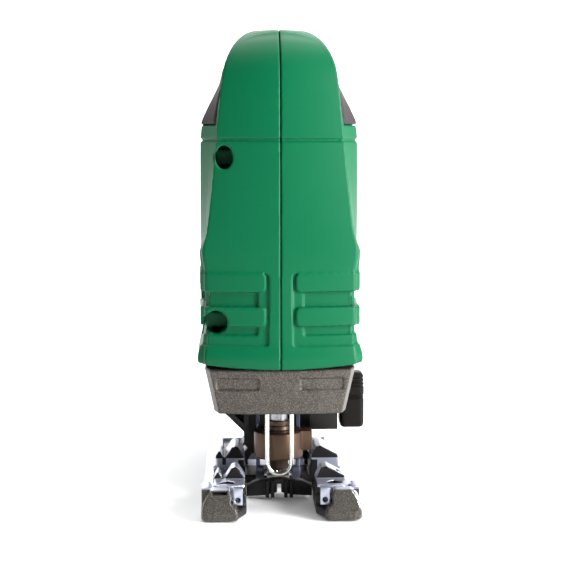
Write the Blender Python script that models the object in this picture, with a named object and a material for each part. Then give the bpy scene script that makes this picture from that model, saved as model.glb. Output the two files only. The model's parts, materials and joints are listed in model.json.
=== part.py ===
"""Top-handle jigsaw, shaped in millimetres and finished in metres.

-Y is the front, +X the tool's left side, +Z up, and the sole lies at z = 0.
"""

import math

import bmesh
import bpy
from mathutils import Matrix, Vector

MM = 0.001
GAP = 0.3

# Housing
WALL = 2.8
SPLIT_GAP = 0.3
SKIRT_Z = 60.0
GROOVE_Z = 154.5
RIB_BANDS = ((78.4, 87.2), (92.9, 101.1))
RIB_INNER_X = 6.4
RIB_HEIGHT = 1.3
RIB_REAR_Y = -18.0
PAD_Z = (160.7, 181.5)
PAD_Y = (-46.0, -8.0)
GRIP_Y = (24.0, 104.0)
GRIP_Z = 176.0
GRIP_X = 8.5
SCREW_SPOTS = ((-49.2, 147.5), (-50.4, 79.6), (76, 184), (135, 176), (134, 114), (104, 68))

# Drive train
MOTOR_Z = 94.0
GEAR_Z = 120.0
PINION_TEETH = 10
GEAR_TEETH = 42
TOOTH_MODULE = 1.0
CRANK_THROW = 10.0
CRANK_PIN_R = 2.4
ROD_Y = -23.0
ROD_R = 4.0
ROD_TOP_Z = 158.0
FIT = 0.08
STATOR_R = 27.5
STATOR_BORE_R = 18.6
CORE_R = 18.0
SHAFT_R = 4.0

# Gear housing
TRAY_Z = (40.6, 59.8)
TRAY_TOP_X = 31.8
TRAY_BOTTOM_X = 28.0
TRAY_Y = (-55.5, 50.0)
POCKET_X = 16.5
POCKET_Y = (-36.0, -8.5)
CASE_X = 25.2
CASE_Y = (-37.4, 2.0)
CASE_Z = (56.0, 155.0)

# Blade clamp and guide
CLAMP_R = 10.8
CLAMP_Z = (16.3, 28.1)
ARM_PIVOT = (-6.0, 36.5)
ROLLER_Y = -14.8
ROLLER_Z = 7.0
ROLLER_R = 4.0
WIRE_R = 0.95
WIRE_X = 5.25
WIRE_Y = -37.2

# Base
BASE_X = 33.0
BASE_Y = 71.0
SKI_INNER_X = 14.5
FLANGE_Z = 4.0
BODY_X = 28.0
BODY_Z = 12.2
REAR_Z = 6.0
FRONT_OPENING_Y = -8.0
NOTCH_Y = (-38.8, -8.0)
RAIL_X = 18.4
RAIL_Z = 17.4
ARCH_R = 18.0
ARCH_Y = (13.0, 51.0)
BOLT_Y = 31.0
FENCE_SLOT_X = 18.0

# Controls
KNOB_FACE_X = 38.4
KNOB_Y = -9.0
KNOB_Z = 45.0
TRIGGER_PIVOT = (17.0, 171.0)
LOCK_Y = 58.0
LOCK_Z = 185.0
DIAL_Y = 147.0
DIAL_Z = 148.0
DIAL_R = 11.0

PAINT = {
    "green": ((0.01, 0.2, 0.07), 0.0, 0.45),
    "rubber": ((0.03, 0.028, 0.027), 0.0, 0.8),
    "gunmetal": ((0.19, 0.17, 0.15), 0.7, 0.45),
    "bright": ((0.62, 0.64, 0.72), 0.9, 0.25),
    "steel": ((0.5, 0.5, 0.5), 1.0, 0.3),
    "bronze": ((0.2, 0.11, 0.06), 0.8, 0.35),
    "black": ((0.02, 0.018, 0.017), 0.0, 0.4),
    "copper": ((0.6, 0.25, 0.12), 1.0, 0.3),
    "core": ((0.2, 0.2, 0.21), 0.9, 0.5),
    "blue": ((0.2, 0.22, 0.3), 0.8, 0.35),
    "brass": ((0.6, 0.45, 0.18), 1.0, 0.3),
}


def clear_scene():
    for obj in list(bpy.data.objects):
        bpy.data.objects.remove(obj)


def make(name, verts, faces):
    mesh = bpy.data.meshes.new(name)
    mesh.from_pydata(verts, [], faces)
    work = bmesh.new()
    work.from_mesh(mesh)
    bmesh.ops.recalc_face_normals(work, faces=work.faces)
    work.to_mesh(mesh)
    work.free()
    obj = bpy.data.objects.new(name, mesh)
    bpy.context.scene.collection.objects.link(obj)
    return obj


def place(a, b, t, axis):
    """Point of a profile: a and b lie across the axis in cyclic order, t along it."""
    if axis == "X":
        return (t, a, b)
    if axis == "Y":
        return (a, t, b)
    return (a, b, t)


def prism(name, outline, axis, low, high):
    count = len(outline)
    verts = [place(a, b, low, axis) for a, b in outline]
    verts += [place(a, b, high, axis) for a, b in outline]
    faces = [tuple(range(count)), tuple(range(count, 2 * count))]
    for i in range(count):
        j = (i + 1) % count
        faces.append((i, j, count + j, count + i))
    return make(name, verts, faces)


def box(name, xs, ys, zs):
    outline = [(xs[0], ys[0]), (xs[1], ys[0]), (xs[1], ys[1]), (xs[0], ys[1])]
    return prism(name, outline, "Z", zs[0], zs[1])


def lathe(name, profile, centre, axis, segments=24, phase=0.0):
    """Body turned from a closed profile of (radius, distance along the axis)."""
    verts = []
    faces = []
    loops = []
    for radius, along in profile:
        if radius < 1e-6:
            loops.append([len(verts)])
            verts.append(place(centre[0], centre[1], along, axis))
            continue
        loops.append(list(range(len(verts), len(verts) + segments)))
        for k in range(segments):
            angle = 2 * math.pi * k / segments + phase
            across = (centre[0] + radius * math.cos(angle), centre[1] + radius * math.sin(angle))
            verts.append(place(across[0], across[1], along, axis))
    for i, lower in enumerate(loops):
        upper = loops[(i + 1) % len(loops)]
        if len(lower) == 1 and len(upper) == 1:
            continue
        for k in range(segments):
            n = (k + 1) % segments
            if len(lower) == 1:
                faces.append((lower[0], upper[k], upper[n]))
            elif len(upper) == 1:
                faces.append((lower[k], upper[0], lower[n]))
            else:
                faces.append((lower[k], upper[k], upper[n], lower[n]))
    return make(name, verts, faces)


def rod(name, radius, centre, axis, low, high, segments=24):
    return lathe(name, [(0, low), (radius, low), (radius, high), (0, high)], centre, axis, segments)


def ring(name, inner, outer, centre, axis, low, high, segments=24):
    profile = [(inner, low), (outer, low), (outer, high), (inner, high)]
    return lathe(name, profile, centre, axis, segments)


def loft(name, rings):
    count = len(rings[0])
    verts = [v for points in rings for v in points]
    faces = [tuple(range(count)), tuple(range(len(verts) - count, len(verts)))]
    for level in range(len(rings) - 1):
        for i in range(count):
            j = (i + 1) % count
            a = level * count
            b = a + count
            faces.append((a + i, a + j, b + j, b + i))
    return make(name, verts, faces)


def sweep(name, path, radius, sides=10):
    """Round wire along a path that lies in one plane of constant Y."""
    rings = []
    for i, point in enumerate(path):
        before = Vector(path[max(i - 1, 0)])
        after = Vector(path[min(i + 1, len(path) - 1)])
        along = (after - before).normalized()
        out = Vector((0, 1, 0))
        side = along.cross(out)
        loop = []
        for k in range(sides):
            angle = 2 * math.pi * k / sides
            offset = out * radius * math.cos(angle) + side * radius * math.sin(angle)
            loop.append(tuple(Vector(point) + offset))
        rings.append(loop)
    return loft(name, rings)


def copy_of(obj, name):
    twin = obj.copy()
    twin.data = obj.data.copy()
    twin.name = name
    bpy.context.scene.collection.objects.link(twin)
    return twin


def boolean(obj, tool, operation):
    modifier = obj.modifiers.new("cut", "BOOLEAN")
    modifier.operation = operation
    modifier.solver = "EXACT"
    modifier.object = tool
    graph = bpy.context.evaluated_depsgraph_get()
    result = bpy.data.meshes.new_from_object(obj.evaluated_get(graph))
    obj.modifiers.clear()
    obj.data = result
    bpy.data.objects.remove(tool)
    return obj


def cut(obj, *tools):
    for tool in tools:
        boolean(obj, tool, "DIFFERENCE")
    return obj


def fuse(obj, *others):
    for other in others:
        boolean(obj, other, "UNION")
    return obj


def common(obj, tool):
    return boolean(obj, tool, "INTERSECT")


def mirror_x(outline):
    return outline + [(-x, y) for x, y in reversed(outline) if abs(x) > 1e-6]


def blend(stations, at):
    """Straight-line value between (position, value...) stations."""
    if at <= stations[0][0]:
        return stations[0][1:]
    for low, high in zip(stations, stations[1:]):
        if at <= high[0]:
            share = (at - low[0]) / (high[0] - low[0])
            return tuple(a + (b - a) * share for a, b in zip(low[1:], high[1:]))
    return stations[-1][1:]


# Column stations: height, front y, crease half-width, body half-width, back y
COLUMN = (
    (60.0, -57.0, 30.2, 33.4, 15.0),
    (66.5, -58.5, 31.2, 34.8, 16.0),
    (70.5, -57.5, 31.0, 34.0, 16.0),
    (76.0, -57.0, 31.0, 33.5, 16.0),
    (113.0, -56.5, 30.8, 33.5, 15.6),
    (130.0, -56.0, 29.0, 33.6, 12.5),
    (154.0, -55.5, 26.6, 33.4, 12.0),
    (161.0, -55.0, 26.0, 32.6, 12.5),
    (167.0, -54.5, 25.4, 30.2, 13.0),
    (173.0, -54.0, 24.9, 27.3, 14.0),
    (179.0, -53.0, 24.0, 24.7, 16.0),
    (184.5, -51.4, 22.9, 23.4, 16.0),
    (189.5, -48.8, 21.2, 21.6, 15.0),
    (194.0, -45.0, 18.8, 19.2, 13.0),
    (197.8, -40.0, 15.4, 15.8, 9.0),
    (200.3, -34.5, 10.8, 11.2, 4.0),
    (201.5, -28.0, 4.6, 5.0, -4.0),
)


def column_ring(z, grow):
    front, crease, half, back = blend(COLUMN, z)
    depth = back - front
    outline = [
        (0.0, front),
        (crease * 0.55, front + 0.4),
        (crease * 0.88, front + 1.7),
        (crease, front + 4.2),
        (crease + (half - crease) * 0.55, front + depth * 0.17),
        (half, front + depth * 0.36),
        (half, front + depth * 0.84),
        (half * 0.93, front + depth * 0.95),
        (half * 0.8, back),
        (0.0, back),
    ]
    middle = (front + back) / 2
    wide = 1 + grow / half
    deep = 1 + 2 * grow / depth
    return [(x * wide, middle + (y - middle) * deep) for x, y in mirror_x(outline)]


def column(name, grow, low=None, high=None):
    heights = [s[0] for s in COLUMN if (low is None or s[0] > low) and (high is None or s[0] < high)]
    heights = ([] if low is None else [low]) + heights + ([] if high is None else [high])
    rings = []
    for z in heights:
        lift = grow * max(0.0, (z - 180.0) / 21.5)
        rings.append([(x, y, z + lift) for x, y in column_ring(z, grow)])
    return loft(name, rings)


# Motor housing stations: y, half-width, half-height
MOTOR = (
    (-20.0, 32.5, 33.0),
    (14.0, 33.6, 33.4),
    (36.0, 35.6, 33.6),
    (80.0, 35.4, 33.6),
    (104.0, 31.0, 31.0),
    (132.0, 28.0, 29.0),
    (143.0, 25.5, 26.5),
    (149.0, 20.0, 21.0),
    (151.0, 14.0, 15.0),
)


def rounded(half_x, half_z, count=16, power=0.72):
    points = []
    for k in range(count):
        angle = 2 * math.pi * (k + 0.5) / count
        c = math.cos(angle)
        s = math.sin(angle)
        across = math.copysign(abs(c) ** power, c) * half_x
        points.append((across, math.copysign(abs(s) ** power, s) * half_z))
    return points


def motor(name, grow):
    rings = []
    for y, half_x, half_z in MOTOR:
        shift = grow * max(0.0, (y - 132.0) / 19.0)
        outline = rounded(half_x + grow, half_z + grow)
        rings.append([(x, y + shift, MOTOR_Z + z) for x, z in outline])
    return loft(name, rings)


# Handle stations: y, half-width, bottom z, top z
HANDLE = (
    (-34.0, 15.0, 168.0, 196.5),
    (-12.0, 19.0, 164.5, 201.5),
    (8.0, 20.0, 163.0, 201.5),
    (52.0, 19.0, 163.5, 200.0),
    (100.0, 17.5, 162.0, 197.0),
    (124.0, 17.5, 158.0, 193.0),
    (142.0, 16.5, 154.0, 186.0),
    (152.0, 13.0, 153.0, 178.0),
    (156.0, 8.0, 155.0, 170.0),
)


def handle(name, grow):
    rings = []
    for y, half_x, low, high in HANDLE:
        shift = grow * max(-1.0, min(1.0, (y - 142.0) / 14.0)) if y > 142 else 0.0
        outline = rounded(half_x + grow, (high - low) / 2 + grow, 16, 0.8)
        rings.append([(x, y + shift, (low + high) / 2 + z) for x, z in outline])
    return loft(name, rings)


# Rear column stations: z, half-width, front y, back y
REAR = (
    (86.0, 18.0, 108.0, 143.0),
    (112.0, 19.0, 109.0, 151.0),
    (128.0, 19.0, 110.0, 154.0),
    (150.0, 18.0, 111.0, 156.0),
    (166.0, 17.0, 108.0, 156.0),
    (178.0, 15.0, 104.0, 151.0),
)


def rear_column(name, grow):
    rings = []
    for z, half_x, front, back in REAR:
        outline = rounded(half_x + grow, (back - front) / 2 + grow, 16, 0.72)
        rings.append([(x, (front + back) / 2 + y, z) for x, y in outline])
    return loft(name, rings)


def full_body(name, grow, low=None):
    body = column(name, grow, low)
    return fuse(body, motor("a", grow), handle("b", grow), rear_column("c", grow))


def raised_ribs(body):
    """Wrap-round bars on the front of the column."""
    for low, high in RIB_BANDS:
        for side in (-1, 1):
            bar = column("bar", RIB_HEIGHT, low, high)
            xs = sorted((side * RIB_INNER_X, side * 40.0))
            common(bar, box("k", xs, (-70, RIB_REAR_Y), (low - 5, high + 5)))
            fuse(body, bar)


def groove_cutter():
    band = box("groove", (-50, 50), (-80, 60), (GROOVE_Z - 0.8, GROOVE_Z + 0.8))
    return cut(band, column("core", -0.8, GROOVE_Z - 4, GROOVE_Z + 4))


def pad_region(name, side, inset=0.0):
    """Side outline of a shoulder pad, carried through one half of the body."""
    low = PAD_Z[0] + inset
    high = PAD_Z[1] - inset
    front = PAD_Y[0] + inset
    back = PAD_Y[1] - inset
    outline = [(front, low), (back, low), (back, high + 4), (front + 14, high + 4), (front + 3, high - 6)]
    xs = sorted((side * 17.0, side * 45.0))
    return prism(name, outline, "X", xs[0], xs[1])


def grip_region(name, side, inset=0.0):
    xs = sorted((side * (GRIP_X + inset), side * 45.0))
    ys = (GRIP_Y[0] + inset, GRIP_Y[1] - inset)
    return box(name, xs, ys, (150, GRIP_Z - inset))


def screw_side_x(y, z):
    """Half-width of the body where a screw goes in."""
    if y < 20 and z > 100:
        return 34.0
    if z > 160:
        return 19.0
    if y > 110:
        return 20.0
    return 33.0


def screw_depth(y, z):
    return min(screw_side_x(y, z) - 6.0, 14.5 if y < 0 else 13.0)


def bosses():
    """Screw posts, one across the split at each spot."""
    pieces = []
    for y, z in SCREW_SPOTS:
        pieces.append(rod("post", 6.2, (y, z), "X", -36, 36, 12))
    return pieces


def vents(side):
    cutters = []
    for k in range(5):
        xs = sorted((side * 20.0, side * 45.0))
        y = 104.0 + 6.5 * k
        cutters.append(box("vent", xs, (y - 1.3, y + 1.3), (82, 106)))
    for k in range(4):
        xs = sorted((side * 26.0, side * 45.0))
        z = 80.0 + 8.0 * k
        cutters.append(box("vent", xs, (19, 33), (z - 1.4, z + 1.4)))
    return cutters


def housing_core():
    """Both halves as one hollow body, before the split."""
    body = full_body("body", 0.0)
    raised_ribs(body)
    cut(body, groove_cutter())
    hollow = full_body("hollow", -WALL, SKIRT_Z - 7.0)
    cut(body, hollow)
    webs = box("webs", (-60, 60), (46, 49), (55, 130))
    fuse(webs, box("w", (-60, 60), (121, 125), (62, 126)))
    fuse(webs, *bosses())
    common(webs, full_body("skin", -1.2, SKIRT_Z + 0.5))
    cut(webs, rod("s", STATOR_R + GAP, (0, MOTOR_Z), "Y", 40, 60, 32))
    cut(webs, rod("b", 9.5 + 0.05, (0, MOTOR_Z), "Y", 100, 130, 24))
    fuse(body, webs)
    return body


def housing_openings():
    cutters = [
        rod("gland", 6.3, (0, MOTOR_Z), "Y", 140, 165, 20),
        box("dial", (-3.6, 3.6), (DIAL_Y - 3, 170), (DIAL_Z - 12, DIAL_Z + 12)),
        box("trigger", (-7.4, 7.4), (14.5, 49.0), (150, 169)),
        rod("lock", 4.4, (LOCK_Y, LOCK_Z), "X", 8, 40, 20),
    ]
    return cutters


def build_housing():
    body = housing_core()
    cut(body, *housing_openings())
    for y, z in SCREW_SPOTS:
        depth = screw_depth(y, z)
        cut(body, rod("head", 4.9, (y, z), "X", -45, -depth, 16))
        cut(body, rod("hole", 2.2, (y, z), "X", -depth - 1, 18.0, 10))
    for side in (-1, 1):
        skin = full_body("skin", -1.5)
        region = pad_region("pads", side)
        fuse(region, grip_region("g", side))
        cut(region, skin)
        cut(body, region)
        cut(body, *vents(side))
    left = copy_of(body, "housing_left")
    common(left, box("k", (SPLIT_GAP / 2, 60), (-90, 190), (30, 230)))
    right = body
    right.name = "housing_right"
    common(right, box("k", (-60, -SPLIT_GAP / 2), (-90, 190), (30, 230)))
    return [(left, "green"), (right, "green")]


def overlay(name, region, out, deep):
    """Soft layer that follows the body inside a region."""
    layer = full_body(name, out)
    common(layer, region)
    return cut(layer, full_body("under", -deep))


def build_soft_parts():
    parts = []
    for side, tag in ((1, "left"), (-1, "right")):
        pad = overlay("shoulder_pad_" + tag, pad_region("r", side, GAP + 0.1), 0.5, 1.0)
        parts.append((pad, "rubber"))
    for side, tag in ((1, "left"), (-1, "right")):
        grip = overlay("handle_grip_" + tag, grip_region("r", side, GAP), 0.4, 1.2)
        parts.append((grip, "rubber"))
    return parts


def build_housing_screws():
    screws = []
    for number, (y, z) in enumerate(SCREW_SPOTS, 1):
        depth = screw_depth(y, z)
        profile = [(0, -depth - 2.6), (3.6, -depth - 2.6), (3.8, -depth - 0.05), (1.95, -depth - 0.05)]
        profile += [(1.95, 14.0), (0, 15.5)]
        screw = lathe("housing_screw_%d" % number, profile, (y, z), "X", 12)
        cut(screw, rod("drive", 1.5, (y, z), "X", -depth - 4, -depth - 1.0, 6))
        screws.append((screw, "steel"))
    return screws


def tray_ring(z, half, crease, front):
    outline = [
        (0.0, front),
        (crease, front + 2.0),
        (half, front + 10.0),
        (half, TRAY_Y[1] - 6.0),
        (half - 6.0, TRAY_Y[1]),
        (0.0, TRAY_Y[1]),
    ]
    return [(x, y, z) for x, y in mirror_x(outline)]


def foot_outline():
    """Section of the bevel foot: a seat over the arch and flanks at 45 degrees."""
    seat = ARCH_R + 0.4
    half = 7.0
    edge = math.sqrt(seat ** 2 - half ** 2)
    right = [(0.0, seat), (half / 2, math.sqrt(seat ** 2 - half ** 2 / 4)), (half, edge)]
    right += [(TRAY_BOTTOM_X, edge + TRAY_BOTTOM_X - half)]
    right += [(TRAY_BOTTOM_X, TRAY_Z[0] + 1.0), (0.0, TRAY_Z[0] + 1.0)]
    return mirror_x(right)


def build_gear_housing():
    low, high = TRAY_Z
    rings = [
        tray_ring(low, TRAY_BOTTOM_X - 1.0, 25.0, -52.0),
        tray_ring(low + 1.2, TRAY_BOTTOM_X, 25.8, -53.2),
        tray_ring(high, TRAY_TOP_X, 29.5, TRAY_Y[0]),
    ]
    body = loft("gear_housing", rings)
    fuse(body, prism("foot", foot_outline(), "Y", ARCH_Y[0] + 1.0, ARCH_Y[1] - 1.0))
    fuse(body, box("case", (-CASE_X, CASE_X), CASE_Y, CASE_Z))
    for side in (-1, 1):
        xs = sorted((side * 10.3, side * 13.0))
        fuse(body, box("lug", xs, (-8.3, -3.0), (32.8, low + 1)))
    cut(body, box("gears", (-22.6, 22.6), (-34.4, 9.0), (80.0, 143.0)))
    cut(body, box("core", (-22.0, 22.0), (10.0, 46.0), (46.0, TRAY_Z[1] + 3.0)))
    cut(body, box("pocket", (-POCKET_X, POCKET_X), POCKET_Y, (low - 1, 53.0)))
    cut(body, box("arm", (-10.2, 10.2), (-12.5, -1.5), (30.0, 43.5)))
    cut(body, box("knob", (27.2, 40.0), (-19.5, 12.5), (low - 9, 53.2)))
    cut(body, rod("low_bush", 8.05, (0, ROD_Y), "Z", 52.0, 66.1, 24))
    cut(body, rod("rod_path", 5.0, (0, ROD_Y), "Z", 60.0, 160.0, 16))
    cut(body, rod("top_bush", 8.05, (0, ROD_Y), "Z", 145.9, 160.0, 24))
    cut(body, rod("bolt", 3.1, (0, BOLT_Y), "Z", 10.0, 31.0, 13))
    cut(body, rod("cam", 3.1, (KNOB_Y, KNOB_Z), "X", 21.0, 30.0, 14))
    cut(body, rod("pin", 2.05, ARM_PIVOT, "X", -15.0, 15.0, 14))
    for side in (-1, 1):
        cut(body, rod("wire", 1.05, (side * WIRE_X, WIRE_Y), "Z", 30.0, 46.5, 10))
        xs = sorted((side * 8.5, side * 26.5))
        mark = box("mark", xs, (-60.0, -53.9), (51.1, 56.1))
        cut(body, mark)
    return [(body, "gunmetal")]


def build_gear_cover():
    cover = box("gear_case_cover", (-CASE_X, CASE_X), (2.2, 6.0), (77.0, 152.0))
    fuse(cover, rod("boss", 14.0, (0, MOTOR_Z), "Y", 4.0, 10.6, 29))
    cut(cover, rod("path", 6.0, (0, MOTOR_Z), "Y", 0.0, 12.0, 17))
    cut(cover, rod("seat", 11.1, (0, MOTOR_Z), "Y", 3.6, 12.0, 27))
    cut(cover, rod("spindle", 4.1, (0, GEAR_Z), "Y", 0.0, 8.0, 23))
    return [(cover, "core")]


def build_guides():
    lower = ring("plunger_bush_lower", ROD_R + FIT, 8.0, (0, ROD_Y), "Z", 54.0, 66.0)
    upper = ring("plunger_bush_upper", ROD_R + FIT, 8.0, (0, ROD_Y), "Z", 146.0, 154.0)
    seal = ring("plunger_seal", ROD_R + 0.2, 7.8, (0, ROD_Y), "Z", 53.2, 53.9, 20)
    spindle = rod("gear_spindle", ROD_R, (0, GEAR_Z), "Y", -10.8, 5.9)
    pin = rod("arm_pin", 2.0, ARM_PIVOT, "X", -13.0, 13.0, 14)
    return [(lower, "brass"), (upper, "brass"), (seal, "rubber"), (spindle, "steel"), (pin, "steel")]


def build_wire_guard():
    arc_z = 11.45 + WIRE_X
    path = [(-WIRE_X, WIRE_Y, 46.0), (-WIRE_X, WIRE_Y, 30.0)]
    for k in range(11):
        angle = math.pi * k / 10
        path.append((-WIRE_X * math.cos(angle), WIRE_Y, arc_z - WIRE_X * math.sin(angle)))
    path += [(WIRE_X, WIRE_Y, 30.0), (WIRE_X, WIRE_Y, 46.0)]
    return [(sweep("wire_guard", path, WIRE_R, 8), "steel")]


def build_under_guard():
    outline = [(-24.5, 40.3), (-24.5, 35.4), (-15.2, 26.1), (-15.0, 18.7), (-9.6, 13.3), (9.6, 13.3)]
    outline += [(15.0, 18.7), (15.2, 26.8), (26.4, 26.8)]
    outline += [(26.4, 40.3), (10.6, 40.3), (10.6, 32.0), (-10.6, 32.0), (-10.6, 40.3)]
    guard = prism("under_guard", outline, "Y", -10.2, -8.6)
    fuse(guard, box("block", (14.0, 26.4), (-17.0, -10.0), (26.8, 40.3)))
    strut = [(-24.5, 40.3), (-24.5, 35.4), (-14.6, 25.6), (-14.6, 29.0)]
    strut += [(-19.5, 34.0), (-22.5, 38.2), (-22.5, 40.3)]
    fuse(guard, prism("strut", strut, "Y", -18.0, -10.0))
    fuse(guard, box("rib", (-15.2, -13.0), (-18.0, -10.0), (26.0, 40.3)))
    return [(guard, "black")]


def build_motor():
    centre = (0, MOTOR_Z)
    stator = ring("stator_core", STATOR_BORE_R, STATOR_R, centre, "Y", 40.0, 80.0, 32)
    coils = ring("field_coils", 19.5, 26.0, centre, "Y", 32.2, 39.8, 20)
    fuse(coils, ring("c", 19.5, 26.0, centre, "Y", 80.2, 87.8, 20))
    for low, high in ((MOTOR_Z - 24.0, MOTOR_Z - 20.0), (MOTOR_Z + 20.0, MOTOR_Z + 24.0)):
        bottom = low - 4.0 if low < MOTOR_Z else low - 2.0
        cut(stator, box("slot", (-6.3, 6.3), (30, 90), (bottom, high + 2.0)))
        fuse(coils, box("bar", (-5.9, 5.9), (34, 86), (low, high)))
    baffle = ring("fan_baffle", 19.0, 30.2, centre, "Y", 26.5, 28.5, 28)
    front = ring("front_bearing", SHAFT_R + FIT, 11.0, centre, "Y", 3.8, 10.5, 28)
    rear = ring("rear_bearing", SHAFT_R + FIT, 9.5, centre, "Y", 119.0, 126.0, 24)
    parts = [(stator, "core"), (coils, "copper"), (baffle, "black"), (front, "steel"), (rear, "steel")]
    for side, tag in ((1, "left"), (-1, "right")):
        holder = box("brush_holder_" + tag, sorted((side * 12.6, side * 27.0)), (94.5, 103.5), (88.5, 99.5))
        cut(holder, box("k", sorted((side * 10.0, side * 26.2)), (96.0, 102.0), (90.0, 98.0)))
        brush = box("carbon_brush_" + tag, sorted((side * 11.3, side * 25.9)), (96.2, 101.8), (90.2, 97.8))
        parts += [(holder, "brass"), (brush, "black")]
    return parts


def gear_outline(teeth, phase):
    """Tooth outline with thinned, slightly short teeth."""
    pitch = teeth * TOOTH_MODULE / 2
    tip = pitch + 0.85 * TOOTH_MODULE
    root = pitch - 1.1 * TOOTH_MODULE
    step = 2 * math.pi / teeth
    points = []
    for k in range(teeth):
        centre = phase + step * k
        for radius, share in ((root, -0.31), (tip, -0.1), (tip, 0.1), (root, 0.31)):
            angle = centre + share * step
            points.append((radius * math.cos(angle), radius * math.sin(angle)))
    return points


def fan_outline(blades, hub, tip, half):
    """Straight radial blades around a hub."""
    points = []
    for k in range(blades):
        angle = 2 * math.pi * (k + 0.3) / blades
        along = (math.cos(angle), math.sin(angle))
        across = (-along[1], along[0])
        for reach, side in ((hub, -half), (tip, -half), (tip, half), (hub, half)):
            points.append((along[0] * reach + across[0] * side, along[1] * reach + across[1] * side))
    return points


def build_armature():
    centre = (0, MOTOR_Z)
    profile = [(0, -12.0), (3.0, -12.0), (3.0, -2.4), (SHAFT_R, -2.4), (SHAFT_R, 128.0), (0, 128.0)]
    shaft = lathe("armature_shaft", profile, centre, "Y", 24)
    up = math.pi / 2
    outline = [(x, MOTOR_Z + z) for x, z in gear_outline(PINION_TEETH, up)]
    pinion = prism("pinion", outline, "Y", -10.8, -2.6)
    cut(pinion, rod("bore", 3.05, centre, "Y", -14, 0, 24))
    core = ring("armature_core", SHAFT_R + 0.05, CORE_R, centre, "Y", 42.0, 78.0, 28)
    turns = ring("armature_windings", SHAFT_R + 0.1, 16.6, centre, "Y", 34.2, 41.8, 20)
    fuse(turns, ring("w", SHAFT_R + 0.1, 16.6, centre, "Y", 78.2, 85.8, 20))
    for k in range(6):
        turned = Matrix.Translation((0, 0, MOTOR_Z)) @ Matrix.Rotation(math.pi * k / 3, 4, "Y")
        slot = box("slot", (12.2, 20.0), (30, 90), (-2.0, 2.0))
        bar = box("bar", (12.6, 16.0), (36, 84), (-1.6, 1.6))
        slot.data.transform(turned)
        bar.data.transform(turned)
        cut(core, slot)
        fuse(turns, bar)
    commutator = ring("commutator", SHAFT_R + 0.05, 11.0, centre, "Y", 92.0, 106.0, 24)
    outline = [(x, MOTOR_Z + z) for x, z in fan_outline(9, 9.0, 23.2, 0.7)]
    fan = prism("cooling_fan", outline, "Y", 15.6, 22.2)
    fuse(fan, rod("plate", 24.0, centre, "Y", 21.6, 23.4, 27))
    cut(fan, rod("bore", SHAFT_R + 0.05, centre, "Y", 10.0, 30.0, 24))
    parts = [(shaft, "steel"), (pinion, "steel"), (core, "core"), (turns, "copper")]
    return parts + [(commutator, "copper"), (fan, "black")]


def build_crank():
    centre = (0, GEAR_Z)
    down = -math.pi / 2 + math.pi / GEAR_TEETH
    outline = [(x, GEAR_Z + z) for x, z in gear_outline(GEAR_TEETH, down)]
    gear = prism("drive_gear", outline, "Y", -10.9, -3.0)
    fuse(gear, rod("hub", 8.0, centre, "Y", -4.0, 1.8, 20))
    cut(gear, rod("bore", ROD_R + FIT, centre, "Y", -14, 4, 24))
    pin_spot = (0, GEAR_Z - CRANK_THROW)
    cut(gear, rod("pin", CRANK_PIN_R + 0.05, pin_spot, "Y", -14, 0, 12))
    pin = rod("crank_pin", CRANK_PIN_R, pin_spot, "Y", -15.2, -3.1, 12)
    roller = ring("crank_roller", CRANK_PIN_R + 0.08, 4.0, pin_spot, "Y", -15.1, -11.2, 16)
    return [(gear, "steel"), (pin, "steel"), (roller, "steel")]


def build_plunger():
    centre = (0, ROD_Y)
    low = GEAR_Z - CRANK_THROW
    shaft = rod("plunger_rod", ROD_R, centre, "Z", 32.5, ROD_TOP_Z, 24)
    yoke = box("scotch_yoke", (-17, 17), (-18.9, -15.7), (low - 7, low + 7))
    fuse(yoke, rod("clamp", 6.6, centre, "Z", low - 5.5, low + 5.5, 20))
    cut(yoke, box("slot", (-14.3, 14.3), (-19.0, -15.0), (low - 4.2, low + 4.2)))
    cut(yoke, rod("bore", ROD_R + 0.05, centre, "Z", low - 10, low + 10, 24))
    profile = [(0, 9.3), (2.6, 9.3), (4.1, 11.4), (4.3, 15.9), (6.4, 15.9), (6.4, 28.2), (5.4, 28.7)]
    profile += [(5.4, 30.2), (4.5, 30.4), (5.1, 32.4), (0, 32.4)]
    clamp = lathe("blade_clamp", profile, centre, "Z", 24)
    cut(clamp, box("blade_slot", (-0.8, 0.8), (ROD_Y - 3.4, ROD_Y + 3.6), (5.0, 24.0)))
    return [(shaft, "steel"), (yoke, "steel"), (clamp, "bronze")]


def build_sleeve():
    low, high = CLAMP_Z
    profile = [(6.7, low), (CLAMP_R - 0.6, low), (CLAMP_R, low + 0.6), (CLAMP_R, high - 0.4)]
    profile += [(CLAMP_R - 0.4, high), (6.7, high)]
    sleeve = lathe("clamp_sleeve", profile, (0, ROD_Y), "Z", 32)
    lever = box("lever", (8.0, 14.6), (ROD_Y - 3.6, ROD_Y + 3.4), (19.6, high))
    fuse(sleeve, lever)
    return [(sleeve, "bronze")]


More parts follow.
